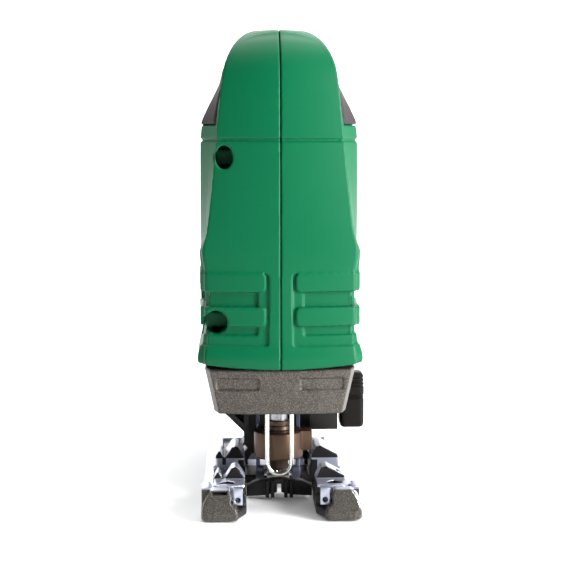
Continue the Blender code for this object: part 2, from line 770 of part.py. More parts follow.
def build_roller_arm():
    pieces = None
    for side in (-1, 1):
        plate = box("plate", sorted((side * 8.0, side * 9.8)), (-14.4, -12.0), (3.6, 39.5))
        fuse(plate, box("top", sorted((side * 8.0, side * 9.8)), (-14.4, -3.4), (33.2, 39.5)))
        fuse(plate, box("block", sorted((side * 6.2, side * 9.8)), (-17.4, -12.0), (3.6, 9.8)))
        pieces = fuse(pieces, plate) if pieces else plate
    fuse(pieces, box("bridge", (-9.0, 9.0), (-11.6, -3.4), (33.2, 39.5)))
    cut(pieces, rod("pivot", 2.08, ARM_PIVOT, "X", -12, 12, 14))
    cut(pieces, rod("pin", 1.55, (ROLLER_Y, ROLLER_Z), "X", -12, 12, 12))
    pieces.name = "roller_arm"
    pin = rod("roller_pin", 1.5, (ROLLER_Y, ROLLER_Z), "X", -9.8, 9.8, 12)
    profile = [(1.58, -5.0), (ROLLER_R, -5.0), (ROLLER_R, -1.1), (2.9, -0.6), (2.9, 0.6), (ROLLER_R, 1.1)]
    profile += [(ROLLER_R, 5.0), (1.58, 5.0)]
    roller = lathe("guide_roller", profile, (ROLLER_Y, ROLLER_Z), "X", 20)
    return [(pieces, "blue"), (pin, "steel"), (roller, "steel")]


def both_sides(outline):
    return [outline, [(-x, y) for x, y in reversed(outline)]]


def base_flange():
    right = [(0.0, FRONT_OPENING_Y), (SKI_INNER_X, FRONT_OPENING_Y), (SKI_INNER_X, -61.0), (17.2, -67.5)]
    right += [(18.4, -BASE_Y), (31.0, -BASE_Y), (BASE_X, -BASE_Y + 3.0), (BASE_X, BASE_Y - 4.0)]
    right += [(BASE_X - 4.0, BASE_Y), (0.0, BASE_Y)]
    return mirror_x(right)


def build_base():
    body = prism("base_plate", base_flange(), "Z", 0.0, FLANGE_Z)
    ski = [(SKI_INNER_X, 12.5), (SKI_INNER_X, -60.0), (BODY_X - 6.0, -61.2), (BODY_X, -60.0), (BODY_X, 12.5)]
    foot = [(18.6, 3.0), (32.5, 3.0), (32.4, 5.0), (29.2, 11.9), (21.4, 11.9), (20.9, 5.0), (18.6, 5.0)]
    rail = [(15.0, BODY_Z - 1), (15.4, BODY_Z), (RAIL_X + 0.6, RAIL_Z), (24.4, BODY_Z), (24.4, BODY_Z - 1)]
    for outline in both_sides(ski):
        fuse(body, prism("ski", outline, "Z", 1.0, BODY_Z))
    for outline in both_sides(foot):
        fuse(body, prism("foot", outline, "Y", -BASE_Y + 0.6, -61.0))
    for outline in both_sides(rail):
        fuse(body, prism("rail", outline, "Y", -47.0, 10.0))
    for side in (-1, 1):
        fuse(body, box("post", sorted((side * 29.2, side * BASE_X)), (-62.0, -50.0), (1.0, 12.0)))
        fuse(body, box("rim", sorted((side * 25.0, side * 28.5)), (12.0, BASE_Y - 4.0), (1.0, REAR_Z)))
        fuse(body, box("link", sorted((side * 26.0, side * 31.0)), (-58.0, -52.0), (1.0, 11.0)))
    fuse(body, box("rear", (-28.5, 28.5), (BASE_Y - 8.0, BASE_Y - 4.0), (1.0, REAR_Z)))
    notch = [(13.0, -1.0), (13.75, -1.0), (16.75, 2.0), (24.2, 2.0), (29.3, 7.1), (34.0, 7.1)]
    notch += [(34.0, 20.0), (13.0, 20.0)]
    for outline in both_sides(notch):
        cut(body, prism("notch", outline, "Y", NOTCH_Y[0], NOTCH_Y[1]))
    cut(body, box("window", (-14.5, 14.5), (BOLT_Y - 6.5, BOLT_Y + 6.5), (-1, 9)))
    for outline in both_sides([(19.5, -53.5), (25.0, -53.5), (25.0, -50.5), (22.2, -48.6), (19.5, -50.5)]):
        cut(body, prism("arrow", outline, "Z", BODY_Z - 1.2, BODY_Z + 2))
    return [(body, "bright")]


def arc(radius, start, stop, count):
    points = []
    for k in range(count + 1):
        angle = math.radians(start + (stop - start) * k / count)
        points.append((radius * math.sin(angle), radius * math.cos(angle)))
    return points


def build_bracket():
    outline = arc(ARCH_R, -71, 71, 18) + arc(ARCH_R - 3.4, 71, -71, 18)
    bracket = prism("bevel_bracket", outline, "Y", ARCH_Y[0], ARCH_Y[1])
    fuse(bracket, box("plate", (-24.6, 24.6), ARCH_Y, (FLANGE_Z + 0.1, REAR_Z)))
    cut(bracket, box("inside", (-13.3, 13.3), (ARCH_Y[0] - 1, ARCH_Y[1] + 1), (3.0, REAR_Z + 0.5)))
    wedge = [(0.0, 4.0)] + arc(24.0, -66, 66, 12)
    cut(bracket, prism("slot", wedge, "Y", BOLT_Y - 3.4, BOLT_Y + 3.4))
    return [(bracket, "steel")]


def build_base_fittings():
    outline = mirror_x([(0.0, 2.6), (6.4, 1.2), (14.2, 0.8), (14.2, 5.6), (10.0, 7.4), (0.0, 8.4)])
    guard = prism("splinter_guard", outline, "Y", -33.0, -28.4)
    for x in (-5.2, -2.9, 2.9, 5.2):
        fuse(guard, box("tab", (x - 0.75, x + 0.75), (-34.6, -28.4), (0.4, 7.6)))
    cut(guard, box("blade", (-0.9, 0.9), (-36.0, -27.0), (-1.0, 6.2)))
    parts = [(guard, "black")]
    for side, tag in ((1, "left"), (-1, "right")):
        nut = box("fence_nut_" + tag, sorted((side * 16.0, side * 20.0)), (-65.4, -61.7), (5.3, 12.2))
        cut(nut, rod("k", 1.2, (side * FENCE_SLOT_X, 7.4), "Y", -68, -60, 10))
        parts.append((nut, "bright"))
    return parts


def build_bevel_bolt():
    profile = [(0, 8.5), (5.5, 8.5), (5.5, 12.5), (3.1, 14.1), (3.0, 14.1), (3.0, 30.0), (0, 30.0)]
    bolt = lathe("bevel_bolt", profile, (0, BOLT_Y), "Z", 16)
    cut(bolt, rod("socket", 2.9, (0, BOLT_Y), "Z", 7.0, 11.5, 6))
    return [(bolt, "steel")]


def build_knob():
    spots = [(-7.0, 0.0), (-6.0, 3.6), (-3.6, 6.2), (3.6, 6.2), (6.0, 3.6), (7.0, 0.0), (6.4, -16.5)]
    spots += [(4.8, -18.3), (-4.8, -18.3), (-6.4, -16.5)]
    outline = [(KNOB_Y + a, KNOB_Z + b) for a, b in spots]
    knob = prism("orbital_knob", outline, "X", 27.6, KNOB_FACE_X)
    for z in (KNOB_Z - 4.0, KNOB_Z - 7.0):
        cut(knob, box("grip", (KNOB_FACE_X - 0.6, 45.0), (KNOB_Y - 9, KNOB_Y + 9), (z - 0.5, z + 0.5)))
    cam = rod("orbital_cam", 3.0, (KNOB_Y, KNOB_Z), "X", 21.4, 27.5, 14)
    cut(cam, box("flat", (20.0, 24.0), (KNOB_Y - 5, KNOB_Y - 0.8), (KNOB_Z - 5, KNOB_Z + 5)))
    return [(knob, "black"), (cam, "steel")]


def build_controls():
    switch = box("switch_body", (-9, 9), (20, 52), (177.5, 195))
    outline = [(15.0, 173.6), (15.2, 163.0), (20.0, 158.4), (32.0, 156.2), (43.5, 158.2), (46.2, 162.0)]
    outline += [(46.4, 170.0), (24.0, 170.0), (21.5, 173.6)]
    trigger = prism("trigger", outline, "X", -7.0, 7.0)
    profile = [(0, 11.0), (5.2, 11.0), (5.2, 13.0), (4.1, 13.0), (4.1, 20.6), (3.5, 21.4), (0, 21.4)]
    lock = lathe("lock_button", profile, (LOCK_Y, LOCK_Z), "X", 20)
    dial_profile = [(0, -6.0), (2.0, -6.0), (2.0, -3.0), (DIAL_R - 0.8, -3.0), (DIAL_R, -2.2), (DIAL_R, 2.2)]
    dial_profile += [(DIAL_R - 0.8, 3.0), (2.0, 3.0), (2.0, 6.0), (0, 6.0)]
    dial = lathe("speed_dial", dial_profile, (DIAL_Y, DIAL_Z), "X", 24)
    module = box("speed_module", (-10.5, 10.5), (117, 130), (127.5, 164))
    bush_profile = [(3.3, 142.5), (8.2, 142.5), (8.2, 145.0), (6.1, 145.0), (6.1, 152.0)]
    bush_profile += [(5.4, 157.5), (3.3, 157.5)]
    bush = lathe("cable_bush", bush_profile, (0, MOTOR_Z), "Y", 20)
    return [
        (switch, "black"),
        (trigger, "black"),
        (lock, "black"),
        (dial, "black"),
        (module, "core"),
        (bush, "rubber"),
    ]


AXES = {
    "armature_shaft": (0, 0, MOTOR_Z),
    "pinion": (0, 0, MOTOR_Z),
    "armature_core": (0, 0, MOTOR_Z),
    "armature_windings": (0, 0, MOTOR_Z),
    "commutator": (0, 0, MOTOR_Z),
    "cooling_fan": (0, 0, MOTOR_Z),
    "drive_gear": (0, 0, GEAR_Z),
    "crank_pin": (0, 0, GEAR_Z),
    "crank_roller": (0, 0, GEAR_Z),
    "plunger_rod": (0, ROD_Y, 0),
    "scotch_yoke": (0, ROD_Y, 0),
    "blade_clamp": (0, ROD_Y, 0),
    "clamp_sleeve": (0, ROD_Y, CLAMP_Z[0]),
    "roller_arm": (0, ARM_PIVOT[0], ARM_PIVOT[1]),
    "roller_pin": (0, ARM_PIVOT[0], ARM_PIVOT[1]),
    "guide_roller": (0, ROLLER_Y, ROLLER_Z),
    "orbital_knob": (0, KNOB_Y, KNOB_Z),
    "orbital_cam": (0, KNOB_Y, KNOB_Z),
    "trigger": (0, TRIGGER_PIVOT[0], TRIGGER_PIVOT[1]),
    "lock_button": (0, LOCK_Y, LOCK_Z),
    "speed_dial": (0, DIAL_Y, DIAL_Z),
}


def finish(obj, paint_name):
    """Material, origin on the joint axis, and smooth shading on round faces."""
    colour, metallic, roughness = PAINT[paint_name]
    material = bpy.data.materials.new(obj.name)
    material.use_nodes = True
    shader = material.node_tree.nodes["Principled BSDF"]
    shader.inputs["Base Color"].default_value = colour + (1.0,)
    shader.inputs["Metallic"].default_value = metallic
    shader.inputs["Roughness"].default_value = roughness
    obj.data.materials.clear()
    obj.data.materials.append(material)
    spot = Vector(AXES.get(obj.name, (0, 0, 0)))
    obj.data.transform(Matrix.Scale(MM, 4) @ Matrix.Translation(-spot))
    obj.location = spot * MM
    obj.data.set_sharp_from_angle(angle=math.radians(30))
    for polygon in obj.data.polygons:
        polygon.material_index = 0
        polygon.use_smooth = True


def main():
    clear_scene()
    parts = build_housing()
    parts += build_soft_parts()
    parts += build_housing_screws()
    parts += build_gear_housing()
    parts += build_gear_cover()
    parts += build_guides()
    parts += build_wire_guard()
    parts += build_under_guard()
    parts += build_motor()
    parts += build_armature()
    parts += build_crank()
    parts += build_plunger()
    parts += build_sleeve()
    parts += build_roller_arm()
    parts += build_base()
    parts += build_bracket()
    parts += build_base_fittings()
    parts += build_bevel_bolt()
    parts += build_knob()
    parts += build_controls()
    for obj, paint_name in parts:
        finish(obj, paint_name)


main()
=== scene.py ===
import json
import math

import bmesh
import bpy
import numpy as np
from mathutils import Matrix, Vector


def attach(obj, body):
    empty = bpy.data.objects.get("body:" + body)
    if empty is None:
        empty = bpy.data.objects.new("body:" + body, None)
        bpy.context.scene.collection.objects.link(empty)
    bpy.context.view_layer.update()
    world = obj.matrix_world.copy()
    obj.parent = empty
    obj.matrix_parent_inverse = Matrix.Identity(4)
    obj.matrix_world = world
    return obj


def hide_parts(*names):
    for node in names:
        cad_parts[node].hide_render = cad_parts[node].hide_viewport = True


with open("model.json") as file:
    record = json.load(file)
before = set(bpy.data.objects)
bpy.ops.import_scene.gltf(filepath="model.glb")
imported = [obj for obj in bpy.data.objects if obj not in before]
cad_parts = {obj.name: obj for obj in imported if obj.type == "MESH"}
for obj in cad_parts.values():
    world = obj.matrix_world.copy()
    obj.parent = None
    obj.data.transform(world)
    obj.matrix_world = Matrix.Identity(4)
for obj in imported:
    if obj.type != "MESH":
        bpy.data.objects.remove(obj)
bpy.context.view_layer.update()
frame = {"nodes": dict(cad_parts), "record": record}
NODES = frame["nodes"]
MM = 0.001

# ---------------------------------------------------------------- materials


def link(tree, a, b):
    tree.links.new(a, b)


GRAIN_DEPTH = 0.00005


def surface(name, colour, rough, metal=0.0, grain=1500.0, bump=0.1, vary=0.12, gloss=0.25):
    """Principled surface with fine grain, slow colour drift and uneven sheen."""
    material = bpy.data.materials.new(name)
    material.use_nodes = True
    tree = material.node_tree
    shader = tree.nodes["Principled BSDF"]
    place = tree.nodes.new("ShaderNodeTexCoord")
    fine = tree.nodes.new("ShaderNodeTexNoise")
    fine.inputs["Scale"].default_value = grain
    fine.inputs["Detail"].default_value = 3.0
    link(tree, place.outputs["Object"], fine.inputs["Vector"])
    slow = tree.nodes.new("ShaderNodeTexNoise")
    slow.inputs["Scale"].default_value = 45.0
    slow.inputs["Detail"].default_value = 4.0
    link(tree, place.outputs["Object"], slow.inputs["Vector"])
    mix = tree.nodes.new("ShaderNodeMix")
    mix.data_type = "RGBA"
    mix.inputs[6].default_value = tuple(c * (1 - vary) for c in colour) + (1,)
    mix.inputs[7].default_value = tuple(min(1.0, c * (1 + vary)) for c in colour) + (1,)
    both = tree.nodes.new("ShaderNodeMath")
    both.operation = "MULTIPLY_ADD"
    both.inputs[1].default_value = 0.5
    link(tree, slow.outputs["Fac"], both.inputs[0])
    half = tree.nodes.new("ShaderNodeMath")
    half.operation = "MULTIPLY"
    half.inputs[1].default_value = 0.5
    link(tree, fine.outputs["Fac"], half.inputs[0])
    link(tree, half.outputs[0], both.inputs[2])
    link(tree, both.outputs[0], mix.inputs[0])
    link(tree, mix.outputs[2], shader.inputs["Base Color"])
    sheen = tree.nodes.new("ShaderNodeMapRange")
    sheen.inputs["To Min"].default_value = max(0.05, rough - 0.08)
    sheen.inputs["To Max"].default_value = min(1.0, rough + 0.08)
    link(tree, slow.outputs["Fac"], sheen.inputs["Value"])
    link(tree, sheen.outputs[0], shader.inputs["Roughness"])
    relief = tree.nodes.new("ShaderNodeBump")
    relief.inputs["Strength"].default_value = bump
    relief.inputs["Distance"].default_value = GRAIN_DEPTH
    link(tree, fine.outputs["Fac"], relief.inputs["Height"])
    link(tree, relief.outputs["Normal"], shader.inputs["Normal"])
    shader.inputs["Metallic"].default_value = metal
    shader.inputs["Specular IOR Level"].default_value = gloss
    return material


def sparkle(name, colour, flake, rough, metal, size=4200.0, amount=0.5):
    """Metallic paint: a base coat with small bright flakes."""
    material = surface(name, colour, rough, metal, 2600.0, 0.35, 0.1)
    tree = material.node_tree
    shader = tree.nodes["Principled BSDF"]
    place = tree.nodes["Texture Coordinate"]
    cells = tree.nodes.new("ShaderNodeTexVoronoi")
    cells.inputs["Scale"].default_value = size
    link(tree, place.outputs["Object"], cells.inputs["Vector"])
    parts = tree.nodes.new("ShaderNodeSeparateColor")
    link(tree, cells.outputs["Color"], parts.inputs[0])
    pick = tree.nodes.new("ShaderNodeMapRange")
    pick.inputs["From Min"].default_value = 0.45
    pick.inputs["From Max"].default_value = 1.0
    pick.inputs["To Max"].default_value = amount
    link(tree, parts.outputs[0], pick.inputs["Value"])
    old = shader.inputs["Base Color"].links[0].from_socket
    mix = tree.nodes.new("ShaderNodeMix")
    mix.data_type = "RGBA"
    mix.inputs[7].default_value = flake + (1,)
    link(tree, pick.outputs[0], mix.inputs[0])
    link(tree, old, mix.inputs[6])
    link(tree, mix.outputs[2], shader.inputs["Base Color"])
    return material


def brushed(name, colour, rough, along=(1, 1, 40), metal=1.0):
    """Metal with fine lines in one direction."""
    material = surface(name, colour, rough, metal, 600.0, 0.12, 0.08)
    tree = material.node_tree
    stretch = tree.nodes.new("ShaderNodeMapping")
    stretch.inputs["Scale"].default_value = along
    link(tree, tree.nodes["Texture Coordinate"].outputs["Object"], stretch.inputs["Vector"])
    link(tree, stretch.outputs[0], tree.nodes["Noise Texture"].inputs["Vector"])
    return material


GREEN = surface("green_shell", (0.0, 0.104, 0.04), 0.42, 0.0, 1700.0, 0.28, 0.05, gloss=0.17)
RUBBER = surface("soft_grip", (0.034, 0.027, 0.03), 0.62, 0.0, 1300.0, 0.6, 0.15)
GUNMETAL = sparkle("cast_paint", (0.052, 0.046, 0.041), (0.27, 0.243, 0.212), 0.38, 0.5)
DARK_CAST = sparkle("cast_front", (0.05, 0.046, 0.041), (0.24, 0.22, 0.19), 0.42, 0.4)
BRIGHT = surface("cast_bright", (0.5, 0.52, 0.63), 0.3, 0.75, 900.0, 0.22, 0.1)
PLAIN = surface("cast_plain", (0.5, 0.5, 0.5), 0.45, 0.9, 900.0, 0.4, 0.1)
STEEL = brushed("ground_steel", (0.66, 0.66, 0.65), 0.25, (1, 1, 30))
WIRE = brushed("guard_wire", (0.66, 0.66, 0.63), 0.2, (1, 1, 6))
GEAR_STEEL = brushed("gear_steel", (0.42, 0.42, 0.43), 0.3, (1, 20, 1))
BRONZE = brushed("clamp_brown", (0.085, 0.052, 0.034), 0.36, (1, 1, 14), 0.7)
# Painted shade: the bevel bracket gets a near-black metal because it lies in shadow behind the blade
# clamp.
BRACKET_SHADE = brushed("bracket_dark", (0.035, 0.035, 0.038), 0.4, (20, 1, 1), 0.8)
COLLAR = brushed("collar_brown", (0.075, 0.05, 0.037), 0.4, (1, 1, 14), 0.7)
BLUE_STEEL = brushed("arm_steel", (0.14, 0.15, 0.21), 0.3, (1, 1, 10), 0.85)
BLACK = surface("black_plastic", (0.009, 0.008, 0.0075), 0.4, 0.0, 1500.0, 0.25, 0.2)
KNOB = surface("knob_plastic", (0.008, 0.0068, 0.006), 0.48, 0.0, 1500.0, 0.18, 0.15, gloss=0.1)
CORE = brushed("lamination", (0.2, 0.2, 0.21), 0.45, (1, 400, 1), 0.9)
COPPER = brushed("winding", (0.62, 0.26, 0.11), 0.3, (60, 1, 60))
BRASS = surface("brass", (0.62, 0.46, 0.18), 0.3, 1.0, 800.0, 0.2, 0.1)
CARBON = surface("carbon", (0.03, 0.03, 0.03), 0.55, 0.2, 1200.0, 0.3, 0.2)

SLOTS = {
    "green_plastic": GREEN,
    "soft_rubber": RUBBER,
    "gunmetal_casting": GUNMETAL,
    "bright_casting": BRIGHT,
    "plain_casting": PLAIN,
    "bright_steel": STEEL,
    "gear_steel": GEAR_STEEL,
    "clamp_steel": BRONZE,
    "arm_steel": BLUE_STEEL,
    "black_plastic": BLACK,
    "lamination": CORE,
    "copper_winding": COPPER,
    "brass_metal": BRASS,
    "carbon": CARBON,
}
SPECIAL = {
    "wire_guard": WIRE,
    "orbital_knob": KNOB,
    "blade_clamp": COLLAR,
    "bevel_bracket": BRACKET_SHADE,
    # Painted shade: the plunger rod takes the darker gear steel because it lies in shadow between the
    # guard wires.
    "plunger_rod": GEAR_STEEL,
}
NODE_SLOT = {part["node"]: part["material_slot"] for part in frame["record"]["subparts"]}
NODE_BODY = {}
for body_name, members in frame["record"]["behaviour"]["bodies"].items():
    for member in members:
        NODE_BODY[member] = body_name


def finish_of(node):
    return SPECIAL.get(node, SLOTS[NODE_SLOT[node]])


# ---------------------------------------------------------------- solid fields, in millimetres


class Grid:
    """Even grid of sample points; x, y and z broadcast against each other."""

    def __init__(self, low, high, step):
        self.low = np.array(low, np.float32)
        self.step = step
        axes = [np.arange(low[i], high[i] + step, step, dtype=np.float32) for i in range(3)]
        self.axes = axes
        self.x = axes[0][:, None, None]
        self.y = axes[1][None, :, None]
        self.z = axes[2][None, None, :]

    def full(self, field):
        return np.broadcast_to(field, tuple(len(a) for a in self.axes)).astype(np.float32)


def low_of(a, b, soft):
    """Join with a rounded inner corner."""
    share = np.clip(0.5 + 0.5 * (b - a) / soft, 0, 1)
    return b + (a - b) * share - soft * share * (1 - share)


def high_of(a, b, soft):
    """Overlap or cut with a rounded edge."""
    return -low_of(-a, -b, soft)


def polygon(u, v, points, turn=0.0):
    """Distance to a closed outline, negative inside; turn rounds its corners."""
    distance = None
    sign = np.ones(np.broadcast(u, v).shape, np.float32)
    last = points[-1]
    for point in points:
        ax, ay = point
        bx, by = last
        ex, ey = bx - ax, by - ay
        wx, wy = u - ax, v - ay
        share = np.clip((wx * ex + wy * ey) / (ex * ex + ey * ey + 1e-9), 0, 1)
        gap = (wx - ex * share) ** 2 + (wy - ey * share) ** 2
        distance = gap if distance is None else np.minimum(distance, gap)
        above = wy >= 0
        below = (v - by) < 0
        left = ex * wy > ey * wx
        flip = (above & below & left) | (~above & ~below & ~left)
        sign = np.where(flip, -sign, sign)
        last = point
    return (sign * np.sqrt(distance) - turn).astype(np.float32)


def slab(value, low, high):
    return np.maximum(low - value, value - high)


def brick(g, xs, ys, zs, soft=0.6):
    first = high_of(slab(g.x, *xs), slab(g.y, *ys), soft)
    return high_of(first, slab(g.z, *zs), soft)


def tube_field(a, b, centre, radius):
    return np.sqrt((a - centre[0]) ** 2 + (b - centre[1]) ** 2) - radius


def evened(field, step):
    """Field scaled so that it grows about one millimetre per millimetre."""
    slope = np.zeros_like(field)
    for axis in range(3):
        slope += np.gradient(field, step, axis=axis) ** 2
    return field / np.clip(np.sqrt(slope), 0.3, 4.0)


def net(g, field, name):
    """Smooth mesh of the zero surface of a field."""
    inside = field < 0
    cells = tuple(n - 1 for n in field.shape)
    count = np.zeros(cells, np.uint8)
    for i in (0, 1):
        for j in (0, 1):
            for k in (0, 1):
                count += inside[i : i + cells[0], j : j + cells[1], k : k + cells[2]]
    where = np.argwhere((count > 0) & (count < 8))
    number = np.full(cells, -1, np.int32)
    number[where[:, 0], where[:, 1], where[:, 2]] = np.arange(len(where))
    total = np.zeros((len(where), 3))
    hits = np.zeros(len(where))
    corners = [(i, j, k) for i in (0, 1) for j in (0, 1) for k in (0, 1)]
    for a in corners:
        for b in corners:
            if sum(abs(p - q) for p, q in zip(a, b)) != 1 or a > b:
                continue
            fa = field[where[:, 0] + a[0], where[:, 1] + a[1], where[:, 2] + a[2]].astype(float)
            fb = field[where[:, 0] + b[0], where[:, 1] + b[1], where[:, 2] + b[2]].astype(float)
            cross = (fa < 0) != (fb < 0)
            share = np.where(cross, fa / np.where(cross, fa - fb, 1), 0)
            spot = np.array(a) + (np.array(b) - np.array(a)) * share[:, None]
            total += spot * cross[:, None]
            hits += cross
    verts = (where + total / hits[:, None]) * g.step + g.low
    faces = []
    for axis in range(3):
        u, v = [(1, 2), (2, 0), (0, 1)][axis]
        first = [slice(None)] * 3
        second = [slice(None)] * 3
        first[axis] = slice(0, -1)
        second[axis] = slice(1, None)
        one = inside[tuple(first)]
        two = inside[tuple(second)]
        edges = np.argwhere(one != two)
        keep = (edges[:, u] > 0) & (edges[:, v] > 0) & (edges[:, u] < cells[u]) & (edges[:, v] < cells[v])
        edges = edges[keep]
        falls = one[edges[:, 0], edges[:, 1], edges[:, 2]]
        quads = []
        for du, dv in ((1, 1), (0, 1), (0, 0), (1, 0)):
            at = edges.copy()
            at[:, u] -= du
            at[:, v] -= dv
            quads.append(number[at[:, 0], at[:, 1], at[:, 2]])
        quads = np.stack(quads, 1)
        quads[~falls] = quads[~falls][:, ::-1]
        faces.append(quads)
    faces = np.concatenate(faces)
    mesh = bpy.data.meshes.new(name)
    mesh.vertices.add(len(verts))
    mesh.vertices.foreach_set("co", (verts * MM).astype(np.float32).ravel())
    mesh.loops.add(faces.size)
    mesh.loops.foreach_set("vertex_index", faces.astype(np.int32).ravel())
    mesh.polygons.add(len(faces))
    mesh.polygons.foreach_set("loop_start", np.arange(0, faces.size, 4, dtype=np.int32))
    mesh.update(calc_edges=True)
    mesh.validate()
    mesh.polygons.foreach_set("use_smooth", np.ones(len(mesh.polygons), bool))
    obj = bpy.data.objects.new(name, mesh)
    bpy.context.scene.collection.objects.link(obj)
    return obj


def stand_in(obj, node, *materials):
    """obj takes the place of a CAD node."""
    for material in materials:
        obj.data.materials.append(material)
    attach(obj, NODE_BODY[node])
    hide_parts(node)
    return obj


def eased(stations, at):
    """Smooth curve through (position, value...) stations, without overshoot."""
    xs = np.array([s[0] for s in stations], float)
    columns = []
    at = np.clip(np.asarray(at, float), xs[0], xs[-1])
    index = np.clip(np.searchsorted(xs, at) - 1, 0, len(xs) - 2)
    width = xs[index + 1] - xs[index]
    share = (at - xs[index]) / width
    for k in range(1, len(stations[0])):
        ys = np.array([s[k] for s in stations], float)
        rise = np.diff(ys) / np.diff(xs)
        slope = np.zeros(len(xs))
        slope[0], slope[-1] = rise[0], rise[-1]
        same = rise[:-1] * rise[1:] > 0
        total = np.where(same, rise[:-1] + rise[1:], 1)
        slope[1:-1] = np.where(same, 2 * rise[:-1] * rise[1:] / total, 0)
        a, b = ys[index], ys[index + 1]
        c, d = slope[index] * width, slope[index + 1] * width
        s2, s3 = share**2, share**3
        ends = a * (2 * s3 - 3 * s2 + 1) + b * (3 * s2 - 2 * s3)
        columns.append(ends + c * (s3 - 2 * s2 + share) + d * (s3 - s2))
    return columns


# ---------------------------------------------------------------- green housing
# COLUMN: height, front, crease half-width, side half-width, back.
# MOTOR: depth, half-width, half-height. HANDLE: depth, half-width, bottom, top.
# REAR: height, half-width, front, back.

COLUMN = (
    (52.0, -57.4, 30.6, 33.6, 15.0),
    (60.0, -57.9, 31.0, 34.2, 15.4),
    (64.0, -58.4, 31.5, 34.9, 16.0),
    (65.2, -58.3, 31.5, 34.8, 16.0),
    (70.0, -57.2, 31.0, 33.6, 16.0),
    (76.0, -57.0, 30.8, 33.1, 16.0),
    (100.0, -56.7, 31.0, 33.1, 15.8),
    (108.5, -56.6, 32.2, 33.6, 15.8),
    (112.0, -56.5, 31.6, 33.6, 15.6),
    (117.0, -56.4, 30.4, 33.6, 15.2),
    (130.0, -56.0, 28.8, 33.6, 12.5),
    (154.0, -55.5, 26.4, 33.5, 12.0),
    (161.0, -55.0, 25.8, 32.8, 12.5),
    (167.0, -54.5, 25.2, 30.4, 13.0),
    (173.0, -54.0, 24.7, 27.4, 14.0),
    (179.0, -53.0, 23.9, 24.7, 16.0),
    (184.5, -51.4, 22.9, 23.3, 16.0),
    (189.5, -48.8, 21.2, 21.6, 15.0),
    (194.0, -45.0, 18.8, 19.2, 13.0),
    (197.8, -40.0, 15.4, 15.8, 9.0),
    (200.3, -34.5, 10.8, 11.2, 4.0),
    (201.4, -28.0, 4.6, 5.0, -4.0),
)
MOTOR_Z = 94.0
MOTOR = (
    (-20.0, 32.5, 33.0),
    (14.0, 33.6, 33.4),
    (36.0, 35.1, 33.6),
    (80.0, 35.1, 33.6),
    (104.0, 31.0, 31.0),
    (132.0, 28.0, 29.0),
    (143.0, 25.0, 26.0),
    (148.5, 20.0, 21.0),
    (151.0, 12.0, 13.0),
)
HANDLE = (
    (-34.0, 15.0, 168.0, 196.5),
    (-12.0, 19.0, 164.5, 201.4),
    (8.0, 20.0, 163.0, 201.4),
    (52.0, 19.0, 163.5, 200.0),
    (100.0, 17.5, 162.0, 197.0),
    (124.0, 17.5, 158.0, 193.0),
    (142.0, 16.5, 154.0, 186.0),
    (152.0, 12.5, 153.0, 178.0),
    (156.0, 7.0, 156.0, 170.0),
)
REAR = (
    (86.0, 18.0, 108.0, 143.0),
    (112.0, 19.0, 109.0, 151.0),
    (128.0, 19.0, 110.0, 154.0),
    (150.0, 18.0, 111.0, 155.8),
    (166.0, 17.0, 108.0, 155.0),
    (178.0, 15.0, 104.0, 150.0),
)
TOP = 201.4
SIDE = 35.1
SHELL = 2.6
SKIRT = 60.0
BLEND = 7.0
MOTOR_BLEND = 4.0
# The flanks beside the creases are hollow between these heights.
SCOOP = (109.0, 186.0)
RIBS = ((77.9, 86.0), (92.2, 100.2))
RIB_START = 6.2
RIB_END = -18.0
RIB_PROUD = 0.45
POCKET_TOP = 100.0
POCKET_END = -15.0
GROOVE_END = 13.0
# Stepped pockets that the ribs stand in: inner edge x, lower edge z, depth and corner radius.
POCKETS = ((4.9, 69.6, 0.9, 2.4), (9.4, 74.2, 1.9, 1.6))
GROOVE = (153.8, 155.2)
REAR_VENTS = [104.0 + 6.5 * k for k in range(5)]
FAN_VENTS = [80.0 + 8.0 * k for k in range(4)]
# Trigger and dial windows: half-width x, then the spans in y and z.
WINDOWS = ((7.4, (14.5, 49.0), (150.0, 169.0)), (3.6, (144.0, 200.0), (136.0, 160.0)))
INLET_RADIUS = 6.3
STEP = 0.55
FRONT_SHARES = (0.0, 0.15, 0.3, 0.45, 0.6, 0.72, 0.84, 0.93, 1.0)


def column_field(g):
    field = np.empty((len(g.axes[0]), len(g.axes[1]), len(g.axes[2])), np.float32)
    flat_x = g.axes[0][:, None]
    flat_y = g.axes[1][None, :]
    front, crease, half, back = eased(COLUMN, g.axes[2])
    for k, z in enumerate(g.axes[2]):
        scoop = float(np.clip((z - SCOOP[0]) / 5.0, 0, 1) * np.clip((SCOOP[1] - z) / 8.0, 0, 1))
        turn = 1.5 - 1.1 * scoop
        f, c, h, b = front[k] + turn, crease[k] - turn * 0.8, half[k] - turn, back[k] - turn
        c, h = max(c, 0.8), max(h, 0.9)
        deep = b - f
        step = 0.7 * scoop
        points = [(c * s, f + 0.9 * s + 2.7 * s * s) for s in FRONT_SHARES]
        points += [
            (c - step, f + 4.6 + step),
            (c - step + (h - c) * (0.9 - 0.45 * scoop), f + deep * (0.1 + 0.09 * scoop)),
            (h - 0.25, f + deep * 0.33),
            (h, f + deep * 0.45),
            (h, f + deep * 0.84),
            (h * 0.93, f + deep * 0.95),
            (h * 0.8, b),
            (0.0, b),
        ]
        points += [(-x, y) for x, y in reversed(points) if x > 0]
        field[:, :, k] = polygon(flat_x, flat_y, points, turn)
    field = np.maximum(field, g.z - TOP)
    return evened(field, g.step)


def oval_field(across, up, half_x, half_z, power):
    value = (np.abs(across / half_x) ** power + np.abs(up / half_z) ** power) ** (1 / power)
    return (value - 1) * np.minimum(half_x, half_z)


def motor_field(g):
    half_x, half_z = eased(MOTOR, g.axes[1])
    half_x = half_x[None, :, None].astype(np.float32)
    half_z = half_z[None, :, None].astype(np.float32)
    field = oval_field(g.x, g.z - MOTOR_Z, half_x, half_z, 2.7)
    field = np.maximum(field, slab(g.y, MOTOR[0][0], MOTOR[-1][0]))
    return evened(g.full(field), g.step)


